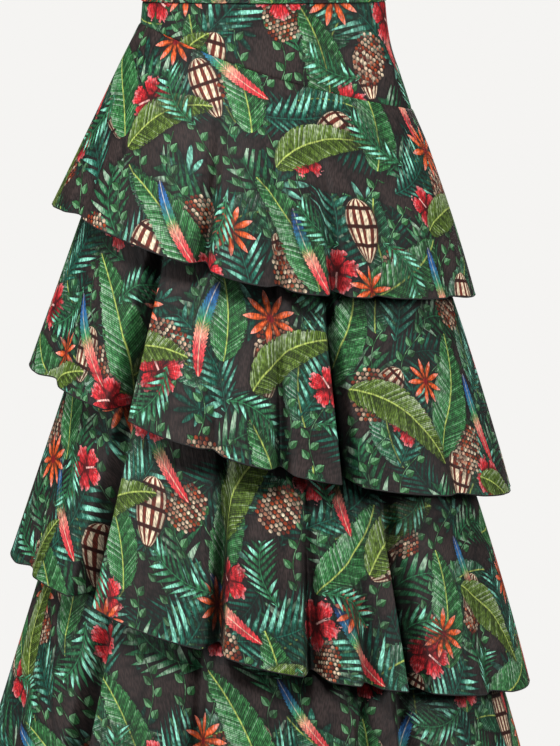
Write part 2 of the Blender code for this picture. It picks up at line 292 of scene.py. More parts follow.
def length_property(name, description, default):
    """A length in metres that a user may set."""
    return FloatProperty(
        name=name, description=description, subtype="DISTANCE", unit="LENGTH", min=0,
        precision=4, default=default,
    )


def power_property(name, description, default):
    """A light's power in watts that a user may set."""
    return FloatProperty(
        name=name, description=description, subtype="POWER", unit="POWER", min=0, default=default
    )


class SkirtCloth(bpy.types.PropertyGroup):
    """Sizes of the sewn cloth."""

    thickness: length_property("Thickness", "Thickness of the printed cloth", 1.0 * MM)
    crease: length_property("Creases", "Depth of the deepest soft crease in a flounce", 1.3 * MM)
    pucker: length_property("Puckers", "Depth of the puckers below a seam", 0.35 * MM)
    seam: length_property("Seam roll", "How far an edge rolls in at its seam", 0.75 * MM)
    hem: length_property("Hem", "Half the thickness of the rolled hem's thread", 0.85 * MM)
    columns: IntProperty(
        name="Columns", description="Columns of faces across half a flounce", min=60, default=250
    )
    rows: IntProperty(
        name="Rows", description="Rows of faces down a flounce between its edges", min=8, default=34
    )


class SkirtPrint(bpy.types.PropertyGroup):
    """Colours of the tropical print, and of what is sewn to it."""

    ground: colour_property("Ground", "Colour between the leaves", srgb(53, 43, 41))
    leaf: colour_property("Leaf", "Colour of the broad leaves", srgb(62, 136, 74))
    olive: colour_property("Olive leaf", "Colour of the leaves that lie on top", srgb(100, 130, 44))
    frond: colour_property("Frond", "Colour of the palm fronds", srgb(30, 98, 80))
    glint: colour_property("Glint", "Light on the palm fronds", srgb(146, 226, 200))
    midrib: colour_property("Midrib", "Colour of the leaves' midribs", srgb(166, 184, 92))
    red_flower: colour_property("Red flower", "Colour of the red flowers", srgb(204, 38, 46))
    orange_flower: colour_property("Orange flower", "Colour of the orange ones", srgb(228, 94, 38))
    pod: colour_property("Pod", "Colour of the seed pods' dark stripes", srgb(112, 46, 34))
    straw: colour_property("Straw", "Colour of the seed pods' pale stripes", srgb(246, 226, 192))
    thread: colour_property("Hem thread", "Colour of the rolled hems", srgb(22, 19, 19))
    underskirt: colour_property("Underskirt", "Colour of the plain underskirt", srgb(48, 43, 43))
    tape: colour_property("Zip tape", "Colour of the zip's tape", srgb(46, 42, 42))
    metal: colour_property("Metal", "Colour of the zip's slider and tab", srgb(92, 88, 84))


class SkirtStudio(bpy.types.PropertyGroup):
    """The pale studio and its lights."""

    backdrop: colour_property("Backdrop", "Colour of the floor and backdrop", srgb(245, 244, 242))
    floor_gap: length_property("Floor gap", "Space between the longest hem and the floor", 0.06)
    sky: FloatProperty(name="Sky", description="Strength of the light all round", default=0.09)
    left: power_property("Left light", "Power of the large light at the left", 108)
    right: power_property("Right light", "Power of the large light at the right", 130)
    top: power_property("Top light", "Power of the light high in front", 144)
    back: power_property("Back light", "Power of the large light behind", 110)


class SkirtSettings(bpy.types.PropertyGroup):
    """Everything that a user may set."""

    cloth: PointerProperty(type=SkirtCloth)
    print: PointerProperty(type=SkirtPrint)
    studio: PointerProperty(type=SkirtStudio)


def figure(column, drop):
    """One column of the figure's table at a drop, on a smooth curve through its rows."""
    drops = np.array([row.drop for row in FIGURE]) * MM
    values = np.array([getattr(row, column) for row in FIGURE]) * MM
    slopes = np.gradient(values, drops)
    drop = np.clip(drop, drops[0], drops[-1])
    row = np.clip(np.searchsorted(drops, drop) - 1, 0, len(drops) - 2)
    step = drops[row + 1] - drops[row]
    rise = values[row + 1] - values[row]
    share = (drop - drops[row]) / step
    lean = (1 - share) * (slopes[row] * step - rise) - share * (slopes[row + 1] * step - rise)
    return values[row] + rise * share + share * (1 - share) * lean


def oval(bearing, right, left, front, back):
    """The radius at a bearing of an oval that reaches these distances from the axis."""
    across = np.where(np.sin(bearing) < 0, right, left)
    along = np.where(np.cos(bearing) < 0, back, front)
    return 1 / np.hypot(np.sin(bearing) / across, np.cos(bearing) / along)


def figure_radius(bearing, drop):
    """The general figure's radius at a bearing and a drop."""
    half_width = figure("half_width", drop)
    return oval(bearing, half_width, half_width, figure("front", drop), figure("back", drop))


def slanted(bearing, right, left, dip, across, along):
    """The drop at a bearing of a slanting seam or hem, whose oval has these half widths."""
    share = oval(bearing, across, across, along, along) * np.sin(bearing) / across
    middle = (right + left) / 2
    return (middle + (left - right) / 2 * share + dip * (1 - share**2) ** 2) * MM


def seam_drop(tier, bearing):
    """The drop of the seam that a flounce hangs from."""
    row = FLOUNCES[tier]
    level = (row.seam_right + row.seam_left) / 2 * MM
    across, along = figure("half_width", level), figure("front", level)
    return slanted(bearing, row.seam_right, row.seam_left, row.seam_dip, across, along)


def hem_drop(tier, bearing):
    """The drop of a flounce's hem, which rises a little where a fold takes it inwards."""
    row = FLOUNCES[tier]
    across, along = (row.right + row.left) / 2, (row.front + row.back) / 2
    level = slanted(bearing, row.hem_right, row.hem_left, row.hem_dip, across, along)
    return level + FOLD_LIFT * folded(tier, bearing, 1)


def fold_bearings(tier):
    """The bearings of a flounce's folds, from their places round the hem's oval."""
    row = FLOUNCES[tier]
    squash = (row.front + row.back) / (row.right + row.left)
    places = np.radians([fold.place for fold in FOLDS[tier]])
    return np.arctan2(np.sin(places), np.cos(places) * squash)


def between(bearing, other):
    """The angle from one bearing to another, within half a turn either way."""
    return (bearing - other + math.pi) % (2 * math.pi) - math.pi


def folded(tier, bearing, share):
    """How far folds and lobes move a flounce outwards at a bearing and a share of its length."""
    moved = np.zeros(np.broadcast(bearing, share).shape)
    centres = fold_bearings(tier)
    for fold, centre in zip(FOLDS[tier], centres):
        across = np.clip(between(bearing, centre) / math.radians(fold.half_width), -1, 1)
        grown = np.clip((share - fold.start) / (1 - fold.start), 0, 1)
        moved -= fold.depth * MM * (0.5 + 0.5 * np.cos(math.pi * across)) * grown
    ring = np.sort(centres)
    for low, high in zip(ring, np.append(ring[1:], ring[0] + 2 * math.pi)):
        place = ((bearing - low) % (2 * math.pi)) / (high - low)
        rise = LOBE_RISE * min(1, (high - low) / LOBE_SPAN) * np.abs(np.cos(bearing))
        moved += np.where(place < 1, rise * np.sin(math.pi * np.minimum(place, 1)), 0) * share
    return moved


def flounce_radius(tier, bearing, drop):
    """The inner face of a flounce. It keeps clear of the underskirt and of the next flounce."""
    row = FLOUNCES[tier]
    seam, hem = seam_drop(tier, bearing), hem_drop(tier, bearing)
    share = np.clip((drop - seam) / (hem - seam), 0, 1)
    top = figure_radius(bearing, seam) + WALL + LAID_GAP
    foot = oval(bearing, row.right * MM, row.left * MM, row.front * MM, row.back * MM)
    bulge = BULGE * (1 + np.sin(bearing)) / 2 * 4 * share * (1 - share)
    free = top + (foot - top) * share + bulge + folded(tier, bearing, share)
    clear = np.clip(share / CLEAR_FROM, 0, 1)
    inside = figure_radius(bearing, drop) + WALL + LAID_GAP + CLEARANCE * clear
    if tier + 1 < len(FLOUNCES):
        for side in (-NEIGHBOUR, 0, NEIGHBOUR):
            covered = drop > seam_drop(tier + 1, bearing + side) - BLEND
            below = flounce_radius(tier + 1, bearing + side, drop) + WALL + CLEARANCE
            inside = np.where(covered, np.maximum(inside, below), inside)
    return (free + inside + np.hypot(free - inside, BLEND * clear)) / 2


def creased(tier, bearing, share, depth):
    """Soft creases that fan down a flounce between its folds."""
    chance = np.random.default_rng(CREASE_SEED + tier)
    moved = np.zeros(bearing.shape)
    for _ in range(CREASES):
        centre = chance.uniform(-math.pi, math.pi)
        half_width = math.radians(chance.uniform(*CREASE_WIDTHS))
        height = depth * chance.uniform(-1, 1)
        start = chance.uniform(*CREASE_STARTS)
        lean = math.radians(chance.uniform(*CREASE_LEANS))
        away = between(bearing, centre + lean * (share - 1))
        across = np.clip(away / half_width, -1, 1)
        grown = np.clip((share - start) / (1 - start), 0, 1)
        moved += height * (0.5 + 0.5 * np.cos(math.pi * across)) * grown
    return moved


def puckered(bearing, below, depth, seed):
    """Small puckers that fade below a seam. below is the distance from the seam."""
    chance = np.random.default_rng(seed)
    turns = chance.uniform(0, 2 * math.pi, len(PUCKER_WAVES))
    pitch = PUCKER_PITCH / PUCKER_RADIUS
    wave = sum(
        height * np.sin(2 * math.pi * bearing / (spread * pitch) + turn)
        for (height, spread), turn in zip(PUCKER_WAVES, turns)
    )
    return depth * 0.5 * wave * np.exp(-below / (PUCKER_REACH / 2))


def rolled(distance, depth):
    """How far an edge rolls inwards at this distance from its seam."""
    share = np.clip(1 - distance / SEAM_ROLL, 0, 1)
    return -depth * share**2 * (3 - 2 * share)


def edged(count, length):
    """Shares from 0 to 1 of a length, closer together near both of its ends."""
    first = np.array(EDGE_STEPS) * MM / length
    last = 1 - first[::-1]
    middle = np.linspace(first[-1], last[0], count + 1)[1:-1]
    return np.concatenate([first, middle, last])


def half_turn(side, slot=0):
    """The first and last bearing of a front or back panel, short of a slot on the wearer's left."""
    quarter = math.pi / 2
    return (-quarter, quarter - slot) if side == "front" else (quarter + slot, 3 * quarter)


def slot_bearing():
    """Half the width of the zip's slot, as an angle at the waist."""
    return ZIP_SLOT / 2 / (FIGURE[0].half_width * MM)


def flounce_columns(tier, side, count):
    """Bearings along a flounce's hem, closest where its folds turn the most."""
    bearing = np.linspace(*half_turn(side), FINE_COLUMNS)
    radius = flounce_radius(tier, bearing, hem_drop(tier, bearing))
    step_x = np.diff(radius * np.sin(bearing))
    step_y = np.diff(-radius * np.cos(bearing))
    heading = np.unwrap(np.arctan2(step_y, step_x))
    turning = np.convolve(np.abs(np.gradient(heading)), np.ones(TURN_WINDOW) / TURN_WINDOW, "same")
    cost = np.hypot(step_x, step_y) + TURN_WEIGHT * turning
    along = np.concatenate([[0], np.cumsum(cost)])
    return np.interp(edged(count, along[-1]) * along[-1], along, bearing)


def panel_columns(side, count, slot=0):
    """Bearings across a plain panel, closer together near its side seams."""
    low, high = half_turn(side, slot)
    length = math.pi * YOKE_ROW.half_width * MM
    return low + (high - low) * edged(count, length)


def edge_distance(bearing, radius, side, slot=0):
    """The distance of a place from the nearer side edge of its panel."""
    low, high = half_turn(side, slot)
    return np.minimum(bearing - low, high - bearing) * radius


def round_points(bearing, radius, drop):
    """Points in the shared frame, from their bearings, radii and drops."""
    return np.stack([radius * np.sin(bearing), -radius * np.cos(bearing), -drop], axis=-1)


def run_lengths(points, axis):
    """The length of cloth from a panel's first column, or row, to each of its points."""
    steps = np.linalg.norm(np.diff(points, axis=axis), axis=-1)
    start = np.zeros_like(np.take(steps, [0], axis=axis))
    return np.concatenate([start, np.cumsum(steps, axis=axis)], axis=axis)


class Cut:
    """The ring sector that a panel is cut to: flat cloth, before it is sewn."""

    def __init__(self, points):
        across, down = run_lengths(points, 0), run_lengths(points, 1)
        self.top, self.foot = across[-1, 0], across[-1, -1]
        self.depth = float(np.mean(down[:, -1]))
        flare = max(self.foot - self.top, LEAST_FLARE * self.top)
        self.inner = self.depth * self.top / flare
        self.points = points

    def flat(self):
        """The width and length of the cloth that the panel is cut from, and the cut's area."""
        outer = self.inner + self.depth
        half_angle = min((self.top + self.foot) / 2 / (self.inner + outer), math.pi)
        reach = outer if half_angle > math.pi / 2 else outer * math.sin(half_angle)
        start = math.cos(half_angle) * (outer if half_angle > math.pi / 2 else self.inner)
        area = half_angle * (outer**2 - self.inner**2)
        return (2 * reach, outer - start), area

    def places(self, start):
        """Where each point of the panel is on the printed cloth, in metres."""
        across, down = run_lengths(self.points, 0), run_lengths(self.points, 1)
        middle = self.points.shape[0] // 2
        reach = self.inner + down
        turn = (across - across[middle]) / reach
        places = np.stack([reach * np.sin(turn), -reach * np.cos(turn) + self.inner], axis=-1)
        return places + np.array(start)


def grid_faces(columns, rows, closed=False):
    """Faces of a grid of points, facing outwards. A closed grid's last row meets its first."""
    corner = np.arange(columns * rows).reshape(columns, rows)
    if closed:
        corner = np.concatenate([corner, corner[:, :1]], axis=1)
    ring = (corner[:-1, :-1], corner[:-1, 1:], corner[1:, 1:], corner[1:, :-1])
    return np.stack(ring, axis=-1).reshape(-1, 4).tolist()


def new_piece(name, points, faces, places, materials):
    """A smooth mesh that rides on the skirt, with the cloth's own places as its UV map."""
    mesh = bpy.data.meshes.new(name)
    mesh.from_pydata(points.reshape(-1, 3).tolist(), [], faces)
    for material in materials:
        mesh.materials.append(material)
    corners = np.zeros(len(mesh.loops), np.int32)
    mesh.loops.foreach_get("vertex_index", corners)
    layer = mesh.uv_layers.new(name="cloth")
    layer.uv.foreach_set("vector", places.reshape(-1, 2)[corners].astype(np.float32).ravel())
    mesh.shade_smooth()
    piece = bpy.data.objects.new(name, mesh)
    bpy.context.scene.collection.objects.link(piece)
    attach(piece, "skirt")
    return piece


def thicken(piece, wall, reverse=0, rim=0):
    """Give a sheet its wall, outwards, with its reverse side and its edges in other materials."""
    shell = piece.modifiers.new("wall", "SOLIDIFY")
    shell.thickness = wall
    shell.offset = 1
    shell.material_offset = reverse
    shell.material_offset_rim = rim


class Wire:
    """A number, vector or colour in a material's nodes, which can be reckoned with."""

    def __init__(self, tree, socket):
        self.tree = tree
        self.socket = socket

    def op(self, operation, *others, clamp=False):
        node = self.tree.nodes.new("ShaderNodeMath")
        node.operation = operation
        node.use_clamp = clamp
        for entry, value in zip(node.inputs, (self, *others)):
            join(self.tree, value, entry)
        return Wire(self.tree, node.outputs[0])

    def __add__(self, other):
        return self.op("ADD", other)

    def __sub__(self, other):
        return self.op("SUBTRACT", other)

    def __rsub__(self, other):
        return self.op("MULTIPLY_ADD", -1, other)

    def __mul__(self, other):
        return self.op("MULTIPLY", other)

    def __truediv__(self, other):
        return self.op("DIVIDE", other)

    def times_plus(self, factor, offset, clamp=False):
        return self.op("MULTIPLY_ADD", factor, offset, clamp=clamp)


def join(tree, value, entry):
    """Feed a wire, or a constant, into a node's input."""
    if isinstance(value, Wire):
        tree.links.new(value.socket, entry)
    else:
        entry.default_value = value


def vector_math(tree, operation, *values):
    """Reckon with whole vectors, which are wires or constants."""
    node = tree.nodes.new("ShaderNodeVectorMath")
    node.operation = operation
    for entry, value in zip(node.inputs, values):
        join(tree, value, entry)
    return Wire(tree, node.outputs["Vector"])


def split(wire):
    """A vector's three numbers."""
    node = wire.tree.nodes.new("ShaderNodeSeparateXYZ")
    join(wire.tree, wire, node.inputs[0])
    return [Wire(wire.tree, out) for out in node.outputs]


def pair(x, y):
    """A vector of two numbers. x is a wire."""
    node = x.tree.nodes.new("ShaderNodeCombineXYZ")
    join(x.tree, x, node.inputs["X"])
    join(x.tree, y, node.inputs["Y"])
    return Wire(x.tree, node.outputs[0])


def blend(tree, share, first, second, way="MIX"):
    """A colour between two, which are wires or constants."""
    node = tree.nodes.new("ShaderNodeMix")
    node.data_type = "RGBA"
    node.blend_type = way
    join(tree, share, node.inputs["Factor"])
    for name, value in (("A", first), ("B", second)):
        entry = [socket for socket in node.inputs if (socket.name, socket.type) == (name, "RGBA")]
        join(tree, value if isinstance(value, Wire) else (*value, 1), entry[0])
    made = [socket for socket in node.outputs if socket.type == "RGBA"]
    return Wire(tree, made[0])


def ramp(wire, *stops):
    """A colour ramp through (place, colour) stops."""
    node = wire.tree.nodes.new("ShaderNodeValToRGB")
    join(wire.tree, wire, node.inputs[0])
    elements = node.color_ramp.elements
    while len(elements) < len(stops):
        elements.new(0.5)
    for element, (place, colour) in zip(elements, stops):
        element.position = place
        element.color = (*colour, 1)
    return Wire(wire.tree, node.outputs[0])


def cloudy(place, scale, detail=1.0, dimensions="2D"):
    """Soft noise over the cloth, or through a solid piece in 3D, from 0 to 1."""
    node = place.tree.nodes.new("ShaderNodeTexNoise")
    node.noise_dimensions = dimensions
    join(place.tree, place, node.inputs["Vector"])
    node.inputs["Scale"].default_value = scale
    node.inputs["Detail"].default_value = detail
    return Wire(place.tree, node.outputs["Fac"])


def chance_at(place, dimensions="2D"):
    """A chance from 0 to 1 for each place, and a vector of three more."""
    node = place.tree.nodes.new("ShaderNodeTexWhiteNoise")
    node.noise_dimensions = dimensions
    join(place.tree, place, node.inputs["W" if dimensions == "1D" else "Vector"])
    return Wire(place.tree, node.outputs["Value"]), Wire(place.tree, node.outputs["Color"])


def tint(colour, share):
    """A colour made darker below 1, or paler towards white above it."""
    if share <= 1:
        return tuple(part * share for part in colour)
    return tuple(part + (1 - part) * (share - 1) for part in colour)


def mixed(first, second, share):
    """The colour at this share of the way from the first to the second."""
    return tuple(a + (b - a) * share for a, b in zip(first, second))


# How a motif is strewn: the width and height of its cell, where the cells start, the share of a
# cell that it may move by, its lowest and highest angle in degrees, and how many cells go without.
Strewn = namedtuple("Strewn", "cell start play turn bare")
# Each row of cells is shifted by a share of a cell, and each motif grown by a share within a range.
ROW_SHIFT = 0.37
LEAST_GROWN = 0.85
GROWN_RANGE = 0.3
# A motif's edge, the ink of the soft dark rim round it, and the strength of that rim.
INK_EDGE = 0.4 * MM
SHADOW_INK = (0.006, 0.005, 0.005)
RIM_STRENGTH = 0.7
# A leaf's ribs are numbered from plus this on one side and minus this on the other, so that each
# side has chances of its own.
SIDE_NUMBER = 40
# How deep a point is inside a narrow finger or petal, as a share of the way out to its outline.
POINTED = 0.4


def strew(point, way):
    """The places of a strewn motif: its own x and y at each point, and how far it is left out."""
    tree = point.tree
    wide, high = way.cell
    grid = vector_math(tree, "MULTIPLY_ADD", point, (1 / wide, 1 / high, 0), (*way.start, 0))
    across, up, _ = split(grid)
    grid = pair(up.op("FLOOR").times_plus(ROW_SHIFT, across), up)
    pick, trio = chance_at(vector_math(tree, "FLOOR", grid))
    inside = vector_math(tree, "FRACTION", grid)
    moved = vector_math(tree, "MULTIPLY_ADD", trio, (-way.play, -way.play, 0), inside)
    middle = way.play / 2 - 0.5
    local = vector_math(
        tree, "MULTIPLY_ADD", moved, (wide, high, 0), (middle * wide, middle * high, 0)
    )
    first, _, third = split(trio)
    low, top = (math.radians(angle) for angle in way.turn)
    node = tree.nodes.new("ShaderNodeVectorRotate")
    node.rotation_type = "Z_AXIS"
    join(tree, local, node.inputs["Vector"])
    join(tree, third.times_plus(top - low, low), node.inputs["Angle"])
    x, y, _ = split(Wire(tree, node.outputs[0]))
    grown = first.times_plus(GROWN_RANGE, LEAST_GROWN)
    return x * grown, y * grown, pick.op("LESS_THAN", way.bare)


def lay(ground, absent, depth, colour, shade=6 * MM):
    """A motif over what lies below it, with a soft dark rim.

    depth is how far inside the motif's outline a point is, and shade how far the rim reaches, both
    in metres. absent is 1 where the motif is left out.
    """
    depth = absent.times_plus(-1, depth)
    shadow = depth.times_plus(1 / shade, 1, clamp=True) * RIM_STRENGTH
    ground = blend(ground.tree, shadow, ground, SHADOW_INK)
    return blend(ground.tree, depth.times_plus(1 / INK_EDGE, 0, clamp=True), ground, colour)


def leaf_body(x, y, length, bend):
    """The share along a leaf, the signed distance from its curved midrib, and its fullness."""
    along = y * (1 / length)
    curve = along * along
    sideways = curve.times_plus(-bend * length, x)
    body = (1 - curve).op("MAXIMUM", 0).op("SQRT")
    return along, sideways, body


def ends(along, length):
    """How far a point is from passing either end of a motif."""
    return along.op("ABSOLUTE").times_plus(-length, length)


def vein(across, width, fullness=1.5):
    """A line along a motif's middle: 1 on it, and 0 beside it."""
    return across.times_plus(-1 / width, fullness, clamp=True)


def broad_leaf(x, y, grain, length, width, bend, green, rib):
    """A broad ribbed leaf with a torn edge: its depth and its colour."""
    strips, slope, taper, tear = 30, 0.75, 0.30, 0.18
    strip_tone, ripple_tone, edge_tone, far_side_tone = 0.50, 0.14, 0.26, 0.20
    along, sideways, body = leaf_body(x, y, length, bend)
    across = sideways.op("ABSOLUTE")
    reach = body * along.times_plus(-taper * width, width)
    strip = (across * -slope + y) * (strips / length)
    number, _ = chance_at(strip.op("FLOOR") + sideways.op("SIGN") * SIDE_NUMBER, "1D")
    depth = number.op("POWER", 3).times_plus(-tear * width, reach) - across
    ripple = (strip * (2 * math.pi)).op("SINE")
    tone = number.times_plus(strip_tone, 0.06) + ripple * ripple_tone + grain * 0.6
    tone = across.times_plus(edge_tone / width, tone)
    tone = sideways.op("GREATER_THAN", 0).times_plus(-far_side_tone, tone)
    stops = ((0.0, tint(green, 0.15)), (0.42, tint(green, 0.85)), (0.95, tint(green, 1.42)))
    colour = ramp(tone, *stops)
    return depth, blend(x.tree, vein(across, 0.8 * MM), colour, rib)


def palm_frond(x, y, grain, length, width, bend, leaflets, green, glint):
    """A palm frond whose leaflets sweep up from a curved stem, with light along them."""
    sweep, fullness, stem_taper, stem_width = 0.85, 0.38, 0.8, 0.8 * MM
    along, sideways, _ = leaf_body(x, y, length, bend)
    across = sideways.op("ABSOLUTE")
    root = (across * -sweep + y) * (1 / length)
    reach = (1 - root * root).op("MAXIMUM", 0.0001).op("SQRT") * width
    out = across / reach
    phase = root * (leaflets / 2)
    middle = (phase.op("FRACT") - 0.5).op("ABSOLUTE")
    leaf = ((out * out).times_plus(-fullness, fullness) - middle) * (2 * length / leaflets)
    leaf = leaf.op("MINIMUM", ends(root, length))
    stem = across.times_plus(-stem_taper, stem_width)
    stem = stem.op("MINIMUM", ends(along, length))
    number, _ = chance_at(phase.op("FLOOR") + sideways.op("SIGN") * SIDE_NUMBER, "1D")
    light = (out * math.pi).op("SINE") * number
    tone = light.times_plus(0.95, 0.08) + grain * 0.6 + middle * -0.5
    colour = ramp(tone, (0.0, tint(green, 0.2)), (0.4, green), (0.82, glint))
    line = vein(across, 0.6 * MM)
    return leaf.op("MAXIMUM", stem), blend(x.tree, line, colour, tint(green, 0.85))


def polar(x, y):
    """A point's distance from its motif's middle, and its angle."""
    return (x * x + y * y).op("SQRT"), x.op("ARCTAN2", y)


def fan_leaf(x, y, grain, size, fingers, green, glint):
    """A round leaf cut into long pointed fingers, each catching the light in its own way."""
    notch, least, spread, cut, point = 0.7, 0.85, 0.2, 0.82, 1.4
    radius, angle = polar(x, y)
    phase = angle * (fingers / (2 * math.pi))
    gap = (phase.op("FRACT") - 0.5).op("ABSOLUTE") * 2
    number, _ = chance_at(phase.op("FLOOR"), "1D")
    heart = (angle * 0.5).op("COSINE").times_plus(notch, 1 - notch)
    heart = heart * number.times_plus(spread, least)
    reach = heart * gap.op("POWER", point).times_plus(-cut, 1) * size
    share = radius * (1 / size)
    light = (share * math.pi).op("SINE") * number
    tone = light.times_plus(0.85, 0.12) + grain * 0.7 + gap * -0.3
    colour = ramp(tone, (0.0, tint(green, 0.15)), (0.4, green), (0.9, glint))
    line = gap.times_plus(-6, 0.7, clamp=True)
    return (reach - radius) * POINTED, blend(x.tree, line * 0.5, colour, tint(green, 0.3))


def petalled(x, y, petals):
    """The radius and angle of a point in a flower, and how near it is to the side of a petal."""
    radius, angle = polar(x, y)
    phase = angle * (petals / (2 * math.pi))
    return radius, angle, (phase.op("FRACT") - 0.5).op("ABSOLUTE") * 2


def star_flower(x, y, grain, size, petals, hue, heart):
    """A flower of narrow pointed petals."""
    cut, point = 0.82, 1.2
    radius, _, gap = petalled(x, y, petals)
    reach = gap.op("POWER", point).times_plus(-cut, 1) * size
    share = radius * (1 / size)
    tone = share.times_plus(0.62, 0.12) + gap * -0.5 + grain * 0.7
    colour = ramp(tone, (0.0, tint(hue, 0.2)), (0.4, hue), (0.85, tint(hue, 1.35)))
    core = share.times_plus(-16, 2.8, clamp=True)
    return (reach - radius) * POINTED, blend(x.tree, core, colour, heart)


def cup_flower(x, y, grain, size, petals, hue, heart):
    """An open flower of broad ruffled petals with a dark throat and a pale pistil."""
    cut, roundness, ruffles, vein_count, pistil_end = 0.42, 3.5, 0.5, 41, 0.72
    radius, angle, gap = petalled(x, y, petals)
    ruffle = grain * ruffles
    reach = gap.op("POWER", roundness).times_plus(-cut, 0.9) * size + ruffle * size
    share = radius * (1 / size)
    veins = (angle * vein_count).op("SINE") * 0.07
    tone = share.times_plus(0.7, -0.02) + gap.op("POWER", 6) * -0.55 + veins + grain * 0.8
    colour = ramp(tone, (0.0, tint(hue, 0.12)), (0.45, hue), (0.9, tint(hue, 1.3)))
    throat = share.times_plus(-7, 1.9, clamp=True)
    colour = blend(x.tree, throat, colour, tint(hue, 0.12))
    pistil = vein(x.op("ABSOLUTE"), 0.9 * MM, 1.6)
    on_pistil = pistil * y.op("GREATER_THAN", 0) * share.op("LESS_THAN", pistil_end)
    return reach - radius, blend(x.tree, on_pistil, colour, heart)


def seed_head(x, y, width, height, dot, stops):
    """An oval head of round seeds, in rows a dot apart, each row half a dot further along."""
    seed_radius, beyond, gap_ink = 0.49 * dot, 20 * MM, (0.02, 0.008, 0.006)
    row = (y * (1 / dot)).op("FLOOR")
    grid_x = row.times_plus(0.5, x * (1 / dot))
    column = grid_x.op("FLOOR")
    pick, _ = chance_at(pair(column, row))
    away_x = grid_x - column - 0.5
    away_y = y * (1 / dot) - row - 0.5
    away = (away_x * away_x + away_y * away_y).op("SQRT")
    centre_x = away_x.times_plus(-dot, x) * (1 / width)
    centre_y = away_y.times_plus(-dot, y) * (1 / height)
    outside = (centre_x * centre_x + centre_y * centre_y).op("GREATER_THAN", 1)
    depth = away.times_plus(-dot, seed_radius) - outside * beyond
    gloss = (away_x - away_y).times_plus(0.5, 0.85) - away * 0.75
    shaded = gloss.op("ADD", 0, clamp=True)
    return depth, blend(x.tree, shaded, gap_ink, ramp(pick, *stops))


def seed_pod(x, y, length, width, stripes, dark, pale):
    """A striped seed pod, shaded as if round."""
    girth, taper, rings = 0.85, 0.22, 11
    along, _, body = leaf_body(x, y, length, 0)
    reach = body * along.times_plus(taper * width, girth * width)
    side = (x / reach).op("MINIMUM", 1).op("MAXIMUM", -1)
    stripe = (side.op("ARCSINE") * stripes).op("SINE").times_plus(2.5, 0.5, clamp=True)
    ring = (along * rings).op("SINE").times_plus(5, -3.4, clamp=True)
    light = (1 - side * side).op("SQRT").times_plus(0.85, 0.12)
    colour = blend(x.tree, stripe, pale, dark)
    colour = blend(x.tree, ring, colour, tint(dark, 0.25))
    return reach - x.op("ABSOLUTE"), blend(x.tree, light, tint(dark, 0.12), colour)


def plume(x, y, length, width, bend, stops):
    """A long feather whose colour changes from its root to its tip."""
    slope, barb_pitch, barb_depth = 1.4, 4.2 * MM, 0.7 * MM
    along, sideways, body = leaf_body(x, y, length, bend)
    across = sideways.op("ABSOLUTE")
    barb = ((across * -slope + y) * (2 * math.pi / barb_pitch)).op("SINE")
    reach = (body * width + barb * barb_depth).op("MINIMUM", ends(along, length))
    colour = ramp(along.times_plus(0.5, 0.5) + barb * 0.03, *stops)
    shaft = vein(across, 0.5 * MM) * 0.6
    return reach - across, blend(x.tree, shaft, colour, (0.7, 0.62, 0.45))


def vine(point, column, start, green):
    """Climbing stems with small leaves to either side, broken off here and there."""
    tree = point.tree
    sway, wave, pitch, stem_width = 9 * MM, 52, 11.2 * MM, 0.6 * MM
    leaf_out, leaf_length, leaf_lean = 6.2 * MM, 6.4 * MM, 0.75
    leaf_width, leaf_taper = 4.2 * MM, 1.8 * MM
    shift, stretches, grown_share = 0.3, 9, 0.82
    x, y, _ = split(point)
    grid = x.times_plus(1 / column, start)
    number = grid.op("FLOOR")
    pick, _ = chance_at(number, "1D")
    local = (grid - number - 0.5) * column
    lifted = pick.times_plus(shift, y)
    stem = (lifted * wave).op("SINE") * sway
    leaf = (lifted * (1 / pitch)).op("FLOOR")
    side = (leaf * 0.5).op("FRACT").times_plus(4, -1)
    centre = (leaf + 0.5) * pitch
    knot = (centre * wave).op("SINE") * sway
    away_x = local - knot - side * leaf_out
    away_y = lifted - centre
    lean = side * leaf_lean
    cosine, sine = lean.op("COSINE"), lean.op("SINE")
    leaf_x = away_x * cosine - away_y * sine
    leaf_y = away_x * sine + away_y * cosine
    share = leaf_y * (1 / leaf_length)
    blade = (1 - share * share) * share.times_plus(-leaf_taper, leaf_width)
    blade = blade - leaf_x.op("ABSOLUTE")
    line = (local - stem).op("ABSOLUTE").times_plus(-1, stem_width)
    stretch, _ = chance_at(pair((lifted * stretches).op("FLOOR"), number))
    tone = leaf_x.op("GREATER_THAN", 0)
    colour = blend(tree, tone, tint(green, 1.08), tint(green, 0.4))
    return stretch.op("GREATER_THAN", grown_share), blade.op("MAXIMUM", line), colour


# One strewn motif of the print: its shape, how it is strewn, and the shape's sizes and colours.
Layer = namedtuple("Layer", "shape strewn sizes")


def undergrowth(grain, colours):
    """The motifs that lie lowest in the print."""
    leaf, frond = colours.leaf, colours.frond
    return (
        Layer(
            palm_frond, Strewn((0.120, 0.135), (0.3, 0.1), 0.1, (-150, 150), 0.2),
            {"grain": grain, "length": 0.054, "width": 0.036, "bend": 0.25, "leaflets": 15,
             "green": tint(frond, 0.5), "glint": frond},
        ),
        Layer(
            fan_leaf, Strewn((0.110, 0.118), (0.7, 0.6), 0.08, (-180, 180), 0.2),
            {"grain": grain, "size": 0.043, "fingers": 11, "green": frond, "glint": colours.glint},
        ),
        Layer(
            palm_frond, Strewn((0.104, 0.112), (0.62, 0.32), 0.1, (-80, 80), 0.06),
            {"grain": grain, "length": 0.043, "width": 0.033, "bend": 0.34, "leaflets": 8,
             "green": mixed(frond, leaf, 0.5), "glint": tint(leaf, 1.28)},
        ),
        Layer(
            broad_leaf, Strewn((0.138, 0.145), (0.15, 0.45), 0.06, (-80, 80), 0.12),
            {"grain": grain, "length": 0.056, "width": 0.021, "bend": 0.18,
             "green": mixed(leaf, frond, 0.6), "rib": colours.midrib},
        ),
    )


